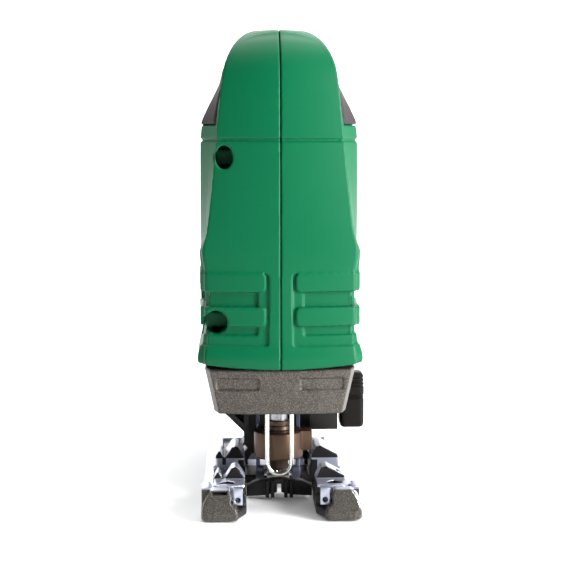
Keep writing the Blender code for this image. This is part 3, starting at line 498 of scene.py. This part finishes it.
def handle_field(g):
    half, low, high = [c[None, :, None].astype(np.float32) for c in eased(HANDLE, g.axes[1])]
    field = oval_field(g.x, g.z - (low + high) / 2, half, (high - low) / 2, 2.45)
    field = np.maximum(field, slab(g.y, HANDLE[0][0], HANDLE[-1][0]))
    return evened(g.full(field), g.step)


def rear_field(g):
    half, front, back = [c[None, None, :].astype(np.float32) for c in eased(REAR, g.axes[2])]
    field = oval_field(g.x, g.y - (front + back) / 2, half, (back - front) / 2, 2.7)
    field = np.maximum(field, slab(g.z, REAR[0][0], REAR[-1][0]))
    return evened(g.full(field), g.step)


PAD = [(-45.6, 161.1), (-8.4, 161.1), (-8.4, 185.1), (-32.4, 185.1), (-42.6, 175.1)]
GRIP = [(24.4, 150.0), (103.6, 150.0), (103.6, 175.6), (24.4, 175.6)]
PAD_X = 17.0
GRIP_X = 8.5
LOCK_AT = (58, 185)
LOCK_RADIUS = 4.5
SEAT_RADIUS = 3.9
HOLE_RADIUS = 2.2
MOUTH_Z = 4.85
POST_RADIUS = 6.4
FRONT_POST_RADIUS = 7.6
# Depth y, height z, head x, then the recess: where it starts or is centred, and its half-width.
SCREWS = (
    (-49.2, 147.5, 14.0, 23.1, 3.6),
    (-50.4, 79.6, 15.0, 26.8, 4.9),
    (76, 184, 13.0, 13.0, 4.9),
    (135, 176, 13.0, 13.0, 4.9),
    (134, 114, 13.0, 13.0, 4.9),
    (104, 68, 13.0, 13.0, 4.9),
)


def skin_field(g):
    body = low_of(column_field(g), handle_field(g), BLEND)
    body = low_of(body, motor_field(g), MOTOR_BLEND)
    body = low_of(body, rear_field(g), BLEND)
    body = high_of(body, g.z - (TOP - 0.05), 2.0)
    return np.maximum(body, g.x - SIDE)


def front_panels(g, body, shell):
    """Groove, stepped pockets and wrap-round ribs of the column."""
    groove = np.maximum(slab(g.z, *GROOVE), -(body + 0.9))
    groove = np.maximum(groove, g.y - GROOVE_END)
    shell = high_of(shell, -groove, 0.35)
    for inner, low, deep, soft in POCKETS:
        pocket = high_of(slab(g.z, low, POCKET_TOP), inner - g.x, soft)
        pocket = np.maximum(np.maximum(pocket, g.y - POCKET_END), -(body + deep))
        shell = high_of(shell, -pocket, 0.25)
    for low, high in RIBS:
        bar = high_of(slab(g.z, low, high), RIB_START - g.x, 2.4)
        bar = high_of(high_of(bar, g.y - RIB_END, 2.0), body - RIB_PROUD, 0.35)
        shell = low_of(shell, np.maximum(bar, -(body + 3.0)), 0.3)
    return shell


def housing_shell(g, body):
    """One half of the housing with its openings, thicker round the ribs."""
    near_ribs = np.clip(1 - np.abs(g.z - 85.0) / 24.0, 0, 0.25) * 4 * (g.y < -12.0)
    thick = SHELL + 1.7 * near_ribs
    shell = np.maximum(body, -(body + thick))
    sweep = 1.6 * (g.x / 30.0) ** 2 * np.clip((-8.0 - g.y) / 36.0, 0, 1)
    shell = high_of(shell, SKIRT + sweep - g.z, 0.4)
    shell = front_panels(g, body, shell)
    for outline, start in ((PAD, PAD_X), (GRIP, GRIP_X)):
        area = polygon(g.axes[1][:, None], g.axes[2][None, :], outline, 0.35)[None]
        area = np.maximum(area, start - g.x)
        shell = np.maximum(shell, -np.maximum(area, -(body + 1.4)))
    for y in REAR_VENTS:
        slot = high_of(slab(g.y, y - 1.4, y + 1.4), slab(g.z, 82.0, 106.0), 1.2)
        shell = high_of(shell, -np.maximum(slot, 20.0 - g.x), 0.4)
    for z in FAN_VENTS:
        slot = high_of(slab(g.y, 19.0, 33.0), slab(g.z, z - 1.5, z + 1.5), 1.2)
        shell = high_of(shell, -np.maximum(slot, 26.0 - g.x), 0.4)
    for half, ys, zs in WINDOWS:
        window = np.maximum(np.maximum(slab(g.y, *ys), g.x - half), slab(g.z, *zs))
        shell = high_of(shell, -window, 0.5)
    inlet = np.maximum(tube_field(g.x, g.z, (0, MOTOR_Z), INLET_RADIUS), 140.0 - g.y)
    shell = high_of(shell, -inlet, 0.4)
    return high_of(shell, 0.14 - g.x, 0.35)


def build_housing():
    """Both halves; the right one has the screw recesses and posts."""
    g = Grid((-1.2, -60.0, 55.8), (37.2, 158.0, 203.0), STEP)
    body = skin_field(g)
    shell = housing_shell(g, body)
    lock = np.maximum(tube_field(g.y, g.z, LOCK_AT, LOCK_RADIUS), 8.0 - g.x)
    left = net(g, high_of(shell, -lock, 0.4), "shell_left")
    stand_in(left, "housing_left", GREEN)
    right_field = shell
    for y, z, deep, _, _ in SCREWS:
        post = FRONT_POST_RADIUS if y < 0 else POST_RADIUS
        wall = np.maximum(tube_field(g.y, g.z, (y, z), post), deep - 3.0 - g.x)
        wall = np.maximum(wall, body + 2.6)
        right_field = low_of(right_field, wall, 0.4)
    for y, z, deep, start, radius in SCREWS:
        seat = np.maximum(tube_field(g.y, g.z, (y, z), SEAT_RADIUS), deep - g.x)
        if y < 0:
            mouth = oval_field(g.x - start, g.z - z, radius, MOUTH_Z, 2.0)
            bore = np.maximum(mouth, g.y - y - 6.4)
            seat = np.maximum(np.maximum(seat, body + 2.7), g.x - start)
        else:
            bore = np.maximum(tube_field(g.y, g.z, (y, z), radius), start - g.x)
        right_field = high_of(right_field, -bore, 0.3)
        hole = np.maximum(tube_field(g.y, g.z, (y, z), HOLE_RADIUS), deep - 5.0 - g.x)
        right_field = np.maximum(right_field, -np.minimum(seat, hole))
    right = net(g, right_field, "shell_right")
    right.data.transform(Matrix.Scale(-1, 4, (1, 0, 0)))
    right.data.flip_normals()
    stand_in(right, "housing_right", GREEN)
    soft_layers(g, body)


def soft_layers(g, body):
    """Rubber pads and grips that lie in the housing's recesses."""
    for outline, node, start, out in (
        (PAD, "shoulder_pad", PAD_X + 0.2, 0.5),
        (GRIP, "handle_grip", GRIP_X + 0.4, 0.45),
    ):
        area = polygon(g.axes[1][:, None], g.axes[2][None, :], outline, -0.1)[None]
        area = np.maximum(area, start - g.x)
        layer = high_of(high_of(body - out, area, 0.8), -(body + 1.2), 0.4)
        if outline is GRIP:
            for k in range(9):
                y = 30.0 + 8.4 * k
                rib = np.maximum(slab(g.y, y - 0.8, y + 0.8), -(body + 0.2))
                layer = high_of(layer, -np.maximum(rib, g.z - 172.0), 0.4)
        left = net(g, layer, node + "_l")
        right = bpy.data.objects.new(node + "_r", left.data.copy())
        bpy.context.scene.collection.objects.link(right)
        right.data.transform(Matrix.Scale(-1, 4, (1, 0, 0)))
        right.data.flip_normals()
        stand_in(left, node + "_left", RUBBER)
        stand_in(right, node + "_right", RUBBER)


# ---------------------------------------------------------------- castings

SOLE_X = 33.0
SOLE_Y = 71.0
SOLE_TOP = 4.0
NOTCH = (-38.8, -8.0)
RAIL_FRONT = -48.2
BOLT_Y = 31.0
ROD_Y = -23.0
KNOB_Y = -9.0
KNOB_Z = 45.0
ARCH_R = 18.0
WIRE_X = 5.25
WIRE_Y = -37.2
WIRE_BEND_Z = 16.7
WIRE_RADIUS = 0.95
WIRE_STEPS = 24
WIRE_SIDES = 24


def flat(g, outline, soft=0.0):
    """Outline seen from above, as a field over x and y."""
    return polygon(g.axes[0][:, None], g.axes[1][None, :], outline, soft)[:, :, None]


def profile(g, outline, soft=0.0):
    """Outline seen from the front, as a field over x and z."""
    return polygon(g.axes[0][:, None], g.axes[2][None, :], outline, soft)[:, None, :]


def mirrored(outline):
    return outline + [(-x, y) for x, y in reversed(outline) if x > 0]


def flipped(outline, side):
    return [(x * side, y) for x, y in outline] if side > 0 else [(-x, y) for x, y in reversed(outline)]


def base_field(g):
    """Sole plate with its skis, rear walls, notch, key window and angle scale."""
    edge = [(0.0, -8.0), (14.5, -8.0), (14.5, -61.0), (17.2, -67.5), (18.4, -70.7), (20.0, -SOLE_Y)]
    edge += [(30.0, -SOLE_Y), (31.6, -70.4), (SOLE_X, -68.0)]
    edge += [(SOLE_X, 67.0), (31.6, 69.8), (29.0, SOLE_Y), (0.0, SOLE_Y)]
    outline = flat(g, mirrored(edge))
    field = high_of(outline, slab(g.z, 0.0, SOLE_TOP), 0.9)
    for side in (1, -1):
        field = low_of(field, ski_field(g, side), 0.6)
    for side in (1, -1):
        wall = brick(g, sorted((side * 25.0, side * 28.5)), (12.0, 67.0), (1.0, 6.0), 1.2)
        field = low_of(field, wall, 1.0)
    field = low_of(field, brick(g, (-28.5, 28.5), (63.0, 67.0), (1.0, 6.0), 1.2), 1.0)
    for side in (1, -1):
        for y in (18.0, 28.0, 38.0, 48.0):
            web = brick(g, sorted((side * 24.9, side * 28.0)), (y - 0.7, y + 0.7), (3.0, 5.4), 0.8)
            field = low_of(field, web, 0.8)
    notch = [(13.0, -1.0), (13.75, -1.0), (16.75, 2.0), (24.2, 2.0), (29.3, 7.1), (34.0, 7.1)]
    notch += [(34.0, 20.0), (13.0, 20.0)]
    for side in (1, -1):
        gap = np.maximum(profile(g, flipped(notch, side)), slab(g.y, *NOTCH))
        field = high_of(field, -gap, 0.5)
    window = high_of(slab(g.x, -14.5, 14.5), slab(g.y, BOLT_Y - 6.5, BOLT_Y + 6.5), 2.0)
    field = high_of(field, -np.maximum(window, slab(g.z, -2, 9)), 0.5)
    for k in range(-5, 6):
        x = k * 5.0
        end = 60.0 if k % 2 else 61.5
        mark = brick(g, (x - 0.25, x + 0.25), (57.0, end), (3.4, 9.0), 0.1)
        field = high_of(field, -mark, 0.15)
    return field


def ski_field(g, side):
    """One ski with its rails and foot; side is 1 or -1."""
    sx = g.x * side
    lower = [(14.5, 12.5), (14.5, -60.0), (20.0, -61.4), (27.0, -61.4), (29.0, -59.0), (29.0, 12.5)]
    upper = [(15.1, 11.9), (15.1, -58.6), (21.0, -60.4), (26.0, -60.4), (28.0, -58.0), (28.0, 11.9)]
    low = flat(g, flipped(lower, side))
    top = flat(g, flipped(upper, side))
    field = high_of(low, slab(g.z, 1.0, 8.4), 0.3)
    field = low_of(field, high_of(top, slab(g.z, 2.0, 12.2), 0.3), 0.2)
    roofs = ([(15.0, 11.0), (15.2, 12.4), (17.2, 16.9), (19.6, 17.4), (27.2, 13.4), (27.8, 11.0)],)
    if side < 0:
        roofs = (
            [(-14.9, 11.0), (-14.9, 12.4), (-17.6, 16.8), (-19.0, 17.4)]
            + [(-20.6, 16.8), (-23.4, 12.4), (-23.4, 11.0)],
            [(-24.6, 11.0), (-24.6, 12.6), (-25.7, 15.0), (-26.6, 15.2), (-28.0, 12.8), (-28.0, 11.0)],
        )
    for roof in roofs:
        field = low_of(field, high_of(profile(g, roof), slab(g.y, RAIL_FRONT, 10.5), 0.25), 0.2)
    foot = [(18.6, 2.0), (32.5, 2.0), (32.5, 5.2), (31.0, 9.0), (28.8, 12.0)]
    foot += [(21.6, 12.0), (20.4, 9.0), (18.6, 5.2)]
    nose = high_of(profile(g, flipped(foot, side)), slab(g.y, -70.6, -60.6), 1.0)
    cheek = high_of(nose, -(g.y + 70.6) + (g.z - 5.2) * 0.42, 0.6)
    field = low_of(field, cheek, 0.4)
    post = brick(g, sorted((side * 29.2, side * 33.0)), (-62.0, -50.0), (1.0, 12.0), 1.0)
    link = brick(g, sorted((side * 26.0, side * 31.0)), (-58.0, -52.0), (1.0, 11.0), 0.8)
    field = low_of(low_of(field, post, 0.4), link, 0.4)
    if side < 0:
        slot = brick(g, (-28.6, -22.4), (-74.0, -64.6), (10.2, 11.5), 0.4)
        field = high_of(field, -slot, 0.2)
    arrow = [(19.6, -56.5), (25.4, -56.5), (25.4, -53.4), (22.5, -50.9), (19.6, -53.4)]
    cut = high_of(flat(g, flipped(arrow, side)), slab(g.z, 9.6, 20.0), 0.2)
    field = high_of(field, -cut, 0.3)
    bore = np.maximum(tube_field(sx, g.z, (18.5, 7.4), 2.4), slab(g.y, -74.0, -56.0))
    field = high_of(field, -bore, 0.3)
    if side > 0:
        mark = [(22.2, -46.4), (26.4, -46.4), (24.3, -42.4)]
        cut = np.maximum(flat(g, mark), 13.6 - g.z)
        field = high_of(field, -cut, 0.2)
        hole = [(28.4, -57.4), (29.4, -57.4), (29.4, -53.4), (28.4, -53.4)]
        field = high_of(field, -np.maximum(flat(g, hole, 0.5), slab(g.z, 6.0, 20.0)), 0.2)
    return field


def paint_by(obj, materials, chooser):
    """Finish of each face, picked by chooser from its centre in millimetres and its normal."""
    mesh = obj.data
    for material in materials:
        mesh.materials.append(material)
    count = len(mesh.polygons)
    centre = np.empty(count * 3, np.float32)
    normal = np.empty(count * 3, np.float32)
    mesh.polygons.foreach_get("center", centre)
    mesh.polygons.foreach_get("normal", normal)
    index = chooser(centre.reshape(-1, 3) / MM, normal.reshape(-1, 3)).astype(np.int32)
    mesh.polygons.foreach_set("material_index", index)


def build_base():
    g = Grid((-33.9, -71.9, -0.9), (33.9, 71.9, 18.2), 0.42)
    base = net(g, g.full(base_field(g)), "base")

    def zone(at, normal):
        across = np.abs(at[:, 0])
        y, z = at[:, 1], at[:, 2]
        # Painted highlight: the slanted outer facets of the right toe, which face the key lamp, keep the
        # bright finish instead of the foot's dark paint.
        lit_facet = (normal[:, 0] * at[:, 0] > 8.0) & (normal[:, 1] < -0.2) & (at[:, 0] > 28.0) & (z > 5.0)
        foot = (y < -60.4) & (across > 17.9) & ~lit_facet & ((z < 11.0) | (y < -66.5))
        # Painted shade: the inner deck, the rail fronts, the notch walls, the arrow recess and the gap
        # between the left rails take black where they lie in shadow.
        deck_shade = (across < 17.9) & (y < 12.0) & (z > 0.6) & (z < 11.0)
        front = (normal[:, 1] < -0.6) & (z > 12.0) & (y > RAIL_FRONT - 1.0)
        notch = (y > NOTCH[0] + 0.3) & (y < NOTCH[1] - 0.3) & (z < 7.4) & (across < 28.6)
        arrow = (across > 19.0) & (across < 26.0) & (y > -57.0) & (y < -50.4) & (z > 8.0) & (z < 11.9)
        rail_gap_shade = (across > 23.2) & (across < 24.8) & (at[:, 0] < 0) & (y > RAIL_FRONT) & (z > 9.0)
        painted_shade = front | deck_shade | notch | arrow | rail_gap_shade
        return np.where(foot, 1, np.where(painted_shade, 2, 0))

    # The black finish on this plate is painted shade.
    paint_by(base, (BRIGHT, DARK_CAST, BLACK), zone)
    stand_in(base, "base_plate")


# Room for the crank gear and yoke: its spans in x, y and z.
GEAR_ROOM = ((-22.6, 22.6), (-34.4, 9.0), (80.0, 143.0))
# Rear hollow, clamp pocket, roller-arm slot and knob recess: spans in x, y and z.
HOLLOWS = (
    ((-22.0, 22.0), (10.0, 46.0), (46.0, 63.0)),
    ((-16.5, 16.5), (-36.0, -8.5), (39.0, 53.0)),
    ((-10.2, 10.2), (-12.5, -1.5), (30.0, 43.5)),
    ((27.2, 40.0), (-19.5, 12.5), (31.6, 53.2)),
)
# Lower bush seat, rod path and upper bush seat: radius, bottom and top.
ROD_BORES = ((8.05, 52.0, 66.1), (5.0, 60.0, 160.0), (8.05, 145.9, 160.0))
BORE_RADIUS = 3.2
TRAY_FLOOR = 41.8
TRAY_RISE = 18.0
TRAY_BACK = 49.0


def tray_field(g):
    """Outer shape of the gear housing below the green shell, wider towards its top."""
    field = np.empty((len(g.axes[0]), len(g.axes[1]), len(g.axes[2])), np.float32)
    flat_x = g.axes[0][:, None]
    flat_y = g.axes[1][None, :]
    turn = 0.4
    for k, z in enumerate(g.axes[2]):
        share = float(np.clip((z - TRAY_FLOOR) / TRAY_RISE, 0, 1))
        half = 28.0 + 3.8 * share - turn
        crease = 25.8 + 3.7 * share - turn * 0.6
        front = -53.2 - 2.3 * share + turn
        points = [(0.0, front - 0.4), (crease * 0.6, front + 0.3), (crease, front + 2.0)]
        points += [(half, front + 9.0), (half, TRAY_BACK - 6.0)]
        points += [(half - 6.0, TRAY_BACK), (0.0, TRAY_BACK)]
        points += [(-x, y) for x, y in reversed(points) if x > 0]
        field[:, :, k] = polygon(flat_x, flat_y, points, turn)
    return evened(high_of(field, slab(g.z, 40.6, 59.8), 0.8), g.step)


def gear_housing_field(g):
    """Tray, tower, bracket foot and every bore and pocket."""
    field = tray_field(g)
    seat = ARCH_R + 0.4
    right = [(0.0, seat), (3.5, 18.06), (7.0, 17.02), (28.0, 38.02), (28.0, 41.6), (0.0, 41.6)]
    foot = np.maximum(profile(g, mirrored(right)), tube_field(g.x, g.z, (0, 0), seat) * -1)
    field = low_of(field, high_of(foot, slab(g.y, 14.0, 50.0), 0.9), 0.8)
    field = np.minimum(field, brick(g, (-25.2, 25.2), (-37.4, 2.0), (56.0, 155.0), 2.0))
    for side in (-1, 1):
        ear = brick(g, sorted((side * 10.3, side * 13.0)), (-8.3, -3.0), (32.8, 42.0), 0.8)
        field = low_of(field, ear, 0.4)
    field = np.maximum(field, -brick(g, *GEAR_ROOM, 2.0))
    for xs, ys, zs in HOLLOWS:
        field = high_of(field, -brick(g, xs, ys, zs, 0.8), 0.4)
    for radius, low, high in ROD_BORES:
        bore = np.maximum(tube_field(g.x, g.y, (0, ROD_Y), radius), slab(g.z, low, high))
        field = np.maximum(field, -bore)
    bolt = np.maximum(tube_field(g.x, g.y, (0, BOLT_Y), BORE_RADIUS), slab(g.z, 10.0, 31.0))
    cam = np.maximum(tube_field(g.y, g.z, (KNOB_Y, KNOB_Z), BORE_RADIUS), slab(g.x, 21.0, 30.0))
    field = np.maximum(np.maximum(field, -bolt), -cam)
    for side in (-1, 1):
        wire = np.maximum(tube_field(g.x, g.y, (side * WIRE_X, WIRE_Y), 1.15), slab(g.z, 30.0, 46.5))
        field = np.maximum(field, -wire)
    return field


def marks(g, field, tray):
    """Shallow long panels pressed into the front of the gear housing."""
    for low, high in ((-26.6, -9.0), (8.2, 26.4)):
        panel = high_of(slab(g.x, low, high), slab(g.z, 51.1, 56.0), 0.8)
        panel = np.maximum(np.maximum(panel, g.y + 42.0), -(tray + 0.75))
        field = high_of(field, -panel, 0.35)
    return field


def build_gear_housing():
    g = Grid((-33.0, -56.8, 16.8), (33.0, 51.0, 62.0), 0.5)
    field = marks(g, gear_housing_field(g), tray_field(g))
    field = np.maximum(field, g.z - 61.0)
    lower = net(g, field, "gear_case")
    upper_grid = Grid((-26.4, -38.6, 60.0), (26.4, 3.2, 156.2), 0.8)
    shape = np.maximum(gear_housing_field(upper_grid), 61.0 - upper_grid.z)
    upper = net(upper_grid, shape, "gear_case_top")
    with bpy.context.temp_override(active_object=lower, selected_editable_objects=[lower, upper]):
        bpy.ops.object.join()
    stand_in(lower, "gear_housing", GUNMETAL)


KNOB_X = (27.6, 38.35)
KNOB_GROOVES = (49.0, 47.4, 45.8, 41.5, 40.4)


def build_knob():
    """Selector knob with finger grooves and a pointer."""
    g = Grid((27.0, -17.0, 26.0), (38.9, -1.0, 52.2), 0.22)
    spots = [(-7.0, 0.0), (-6.2, 3.4), (-3.6, 6.2), (3.6, 6.2), (6.2, 3.4), (7.0, 0.0), (6.4, -16.5)]
    spots += [(5.2, -18.3), (-5.2, -18.3), (-6.4, -16.5)]
    outline = [(KNOB_Y + a * 0.86, KNOB_Z + b * 0.93 - 0.1) for a, b in spots]
    side = polygon(g.axes[1][:, None], g.axes[2][None, :], outline, 0.9)[None]
    field = high_of(side, slab(g.x, *KNOB_X), 2.4)
    for z in KNOB_GROOVES:
        groove = np.maximum(slab(g.z, z - 0.3, z + 0.3), -(field + 0.55))
        field = high_of(field, -np.maximum(groove, 28.6 - g.x), 0.25)
    pointer = brick(g, (37.8, 40.0), (KNOB_Y - 0.8, KNOB_Y + 0.8), (29.0, 36.5), 0.3)
    field = high_of(field, -pointer, 0.25)
    knob = net(g, g.full(field), "mode_knob")
    stand_in(knob, "orbital_knob", KNOB)


def tube(name, path, radius, sides, material):
    """Round wire along a path in one plane."""
    bm = bmesh.new()
    rings = []
    for k, point in enumerate(path):
        ahead = Vector(path[min(k + 1, len(path) - 1)]) - Vector(path[max(k - 1, 0)])
        ahead.normalize()
        side = Vector((0, 1, 0))
        other = ahead.cross(side)
        ring = []
        for j in range(sides):
            angle = 2 * math.pi * j / sides
            offset = side * math.cos(angle) * radius + other * math.sin(angle) * radius
            ring.append(bm.verts.new((Vector(point) + offset) * MM))
        rings.append(ring)
    for a, b in zip(rings, rings[1:]):
        for j in range(sides):
            bm.faces.new((a[j], a[(j + 1) % sides], b[(j + 1) % sides], b[j]))
    bm.faces.new(list(reversed(rings[0])))
    bm.faces.new(rings[-1])
    bmesh.ops.recalc_face_normals(bm, faces=bm.faces)
    mesh = bpy.data.meshes.new(name)
    bm.to_mesh(mesh)
    bm.free()
    for face in mesh.polygons:
        face.use_smooth = len(face.vertices) == 4
    obj = bpy.data.objects.new(name, mesh)
    bpy.context.scene.collection.objects.link(obj)
    mesh.materials.append(material)
    return obj


def build_wire():
    leg_heights = (46.0, 38.0, 30.0, 22.0)
    path = [(-WIRE_X, WIRE_Y, z) for z in leg_heights]
    for k in range(WIRE_STEPS + 1):
        angle = math.pi * k / WIRE_STEPS
        path.append((-WIRE_X * math.cos(angle), WIRE_Y, WIRE_BEND_Z - WIRE_X * math.sin(angle)))
    path += [(WIRE_X, WIRE_Y, z) for z in reversed(leg_heights)]
    wire = tube("guard_loop", path, WIRE_RADIUS, WIRE_SIDES, WIRE)
    stand_in(wire, "wire_guard")


# ---------------------------------------------------------------- smaller pieces


MERGE = 2e-6
FLAT_ANGLE = math.radians(0.6)
BEVEL_ANGLE = math.radians(32)
SHARP_ANGLE = math.radians(40)
PLAIN_EDGE = 0.2


def refined(node, width):
    """Copy of a CAD node with merged faces and rounded edges."""
    mesh = NODES[node].data.copy()
    bm = bmesh.new()
    bm.from_mesh(mesh)
    bmesh.ops.remove_doubles(bm, verts=bm.verts, dist=MERGE)
    bmesh.ops.dissolve_limit(bm, angle_limit=FLAT_ANGLE, verts=bm.verts, edges=bm.edges)
    bm.to_mesh(mesh)
    bm.free()
    mesh.materials.clear()
    obj = bpy.data.objects.new("fine_" + node, mesh)
    bpy.context.scene.collection.objects.link(obj)
    if width > 0:
        bevel = obj.modifiers.new("edges", "BEVEL")
        bevel.width = width * MM
        bevel.segments = 2
        bevel.limit_method = "ANGLE"
        bevel.angle_limit = BEVEL_ANGLE
        bevel.use_clamp_overlap = True
        graph = bpy.context.evaluated_depsgraph_get()
        rounded = bpy.data.meshes.new_from_object(obj.evaluated_get(graph))
        obj.modifiers.clear()
        obj.data = rounded
    for face in obj.data.polygons:
        face.use_smooth = True
    obj.data.set_sharp_from_angle(angle=SHARP_ANGLE)
    stand_in(obj, node, finish_of(node))


# Width of the rounded edges in millimetres, where it is not PLAIN_EDGE.
EDGES = {
    "clamp_sleeve": 0.45,
    "under_guard": 0.4,
    "bevel_bracket": 0.3,
    "trigger": 0.9,
    "lock_button": 0.4,
    "cable_bush": 0.4,
    "speed_dial": 0.3,
    "guide_roller": 0.25,
    "roller_arm": 0.3,
    "splinter_guard": 0.25,
    "cooling_fan": 0.0,
    "drive_gear": 0.0,
    "pinion": 0.0,
    "commutator": 0.0,
    "armature_core": 0.0,
}
PAIRED = ("housing", "shoulder_pad", "handle_grip")
BUILT = {name + side for name in PAIRED for side in ("_left", "_right")}
BUILT |= {"base_plate", "gear_housing", "orbital_knob", "wire_guard"}


def build_small():
    for node in sorted(NODES):
        if node not in BUILT:
            refined(node, EDGES.get(node, PLAIN_EDGE))


# ---------------------------------------------------------------- studio


# The studio is in metres. Each lamp: name, place, point it aims at, size and power in watts.
LAMPS = (
    ("key", (0.95, -0.56, 0.3), (0, 0, 0.1), (0.4, 1.0), 44.0),
    ("fill", (-0.9, 0.0, 0.35), (0, 0, 0.1), (0.3, 0.8), 0.8),
    ("top", (0.0, 0.1, 1.2), (0, 0, 0), (1.0, 1.0), 9.0),
    ("back", (0.0, 1.0, 1.4), (0, 1.6, 0.2), (2.4, 1.0), 55.0),
)
WORLD_STRENGTH = 0.18
FLOOR_GLOW = 0.06
FLOOR_GAP = 0.0006
FLOOR_FRONT = -3.0
FLOOR_SIDE = 3.0
FLOOR_TOP = 3.0
BEND_START = 1.2
BEND_RADIUS = 0.8
BEND_STEPS = 16
SENSOR_WIDTH = 36.0
LENS = 88.15
CAMERA_AT = (0.0048, -0.632, 0.1545)
CAMERA_TURN = -2.1
CAMERA_DOWN = 5.85


def lamp(name, spot, aim, size, power):
    light = bpy.data.lights.new(name, "AREA")
    light.shape = "RECTANGLE"
    light.size, light.size_y = size
    light.energy = power
    obj = bpy.data.objects.new(name, light)
    bpy.context.scene.collection.objects.link(obj)
    obj.location = spot
    obj.rotation_euler = (Vector(aim) - Vector(spot)).to_track_quat("-Z", "Y").to_euler()


def floor_material():
    material = surface("pale_floor", (0.86, 0.86, 0.86), 0.8, 0.0, 300.0, 0.02, 0.01)
    shader = material.node_tree.nodes["Principled BSDF"]
    shader.inputs["Emission Color"].default_value = (1, 1, 1, 1)
    shader.inputs["Emission Strength"].default_value = FLOOR_GLOW
    return material


def build_floor():
    """Pale floor that curves up into the backdrop."""
    bm = bmesh.new()
    section = [(FLOOR_FRONT, 0.0), (BEND_START, 0.0)]
    for k in range(1, BEND_STEPS + 1):
        angle = math.pi / 2 * k / BEND_STEPS
        y = BEND_START + BEND_RADIUS * math.sin(angle)
        section.append((y, BEND_RADIUS - BEND_RADIUS * math.cos(angle)))
    section.append((BEND_START + BEND_RADIUS, FLOOR_TOP))
    left = [bm.verts.new((-FLOOR_SIDE, y, z - FLOOR_GAP)) for y, z in section]
    right = [bm.verts.new((FLOOR_SIDE, y, z - FLOOR_GAP)) for y, z in section]
    for k in range(len(section) - 1):
        bm.faces.new((left[k], right[k], right[k + 1], left[k + 1]))
    mesh = bpy.data.meshes.new("floor")
    bm.to_mesh(mesh)
    bm.free()
    for face in mesh.polygons:
        face.use_smooth = True
    floor = bpy.data.objects.new("floor", mesh)
    bpy.context.scene.collection.objects.link(floor)
    floor.data.materials.append(floor_material())


def build_studio():
    build_floor()
    world = bpy.data.worlds.new("studio")
    world.use_nodes = True
    background = world.node_tree.nodes["Background"]
    background.inputs["Color"].default_value = (1, 1, 1, 1)
    background.inputs["Strength"].default_value = WORLD_STRENGTH
    bpy.context.scene.world = world
    for row in LAMPS:
        lamp(*row)
    bpy.context.scene.view_settings.view_transform = "Standard"


def build_camera():
    data = bpy.data.cameras.new("camera")
    data.sensor_width = SENSOR_WIDTH
    data.lens = LENS
    camera = bpy.data.objects.new("camera", data)
    bpy.context.scene.collection.objects.link(camera)
    turn = Matrix.Rotation(math.radians(CAMERA_TURN), 4, "Z")
    spot = Matrix.Translation(CAMERA_AT)
    tilt = Matrix.Rotation(math.radians(90 - CAMERA_DOWN), 4, "X")
    camera.matrix_world = turn @ spot @ tilt
    bpy.context.scene.camera = camera


build_housing()
build_base()
build_gear_housing()
build_knob()
build_wire()
build_small()
build_studio()
build_camera()
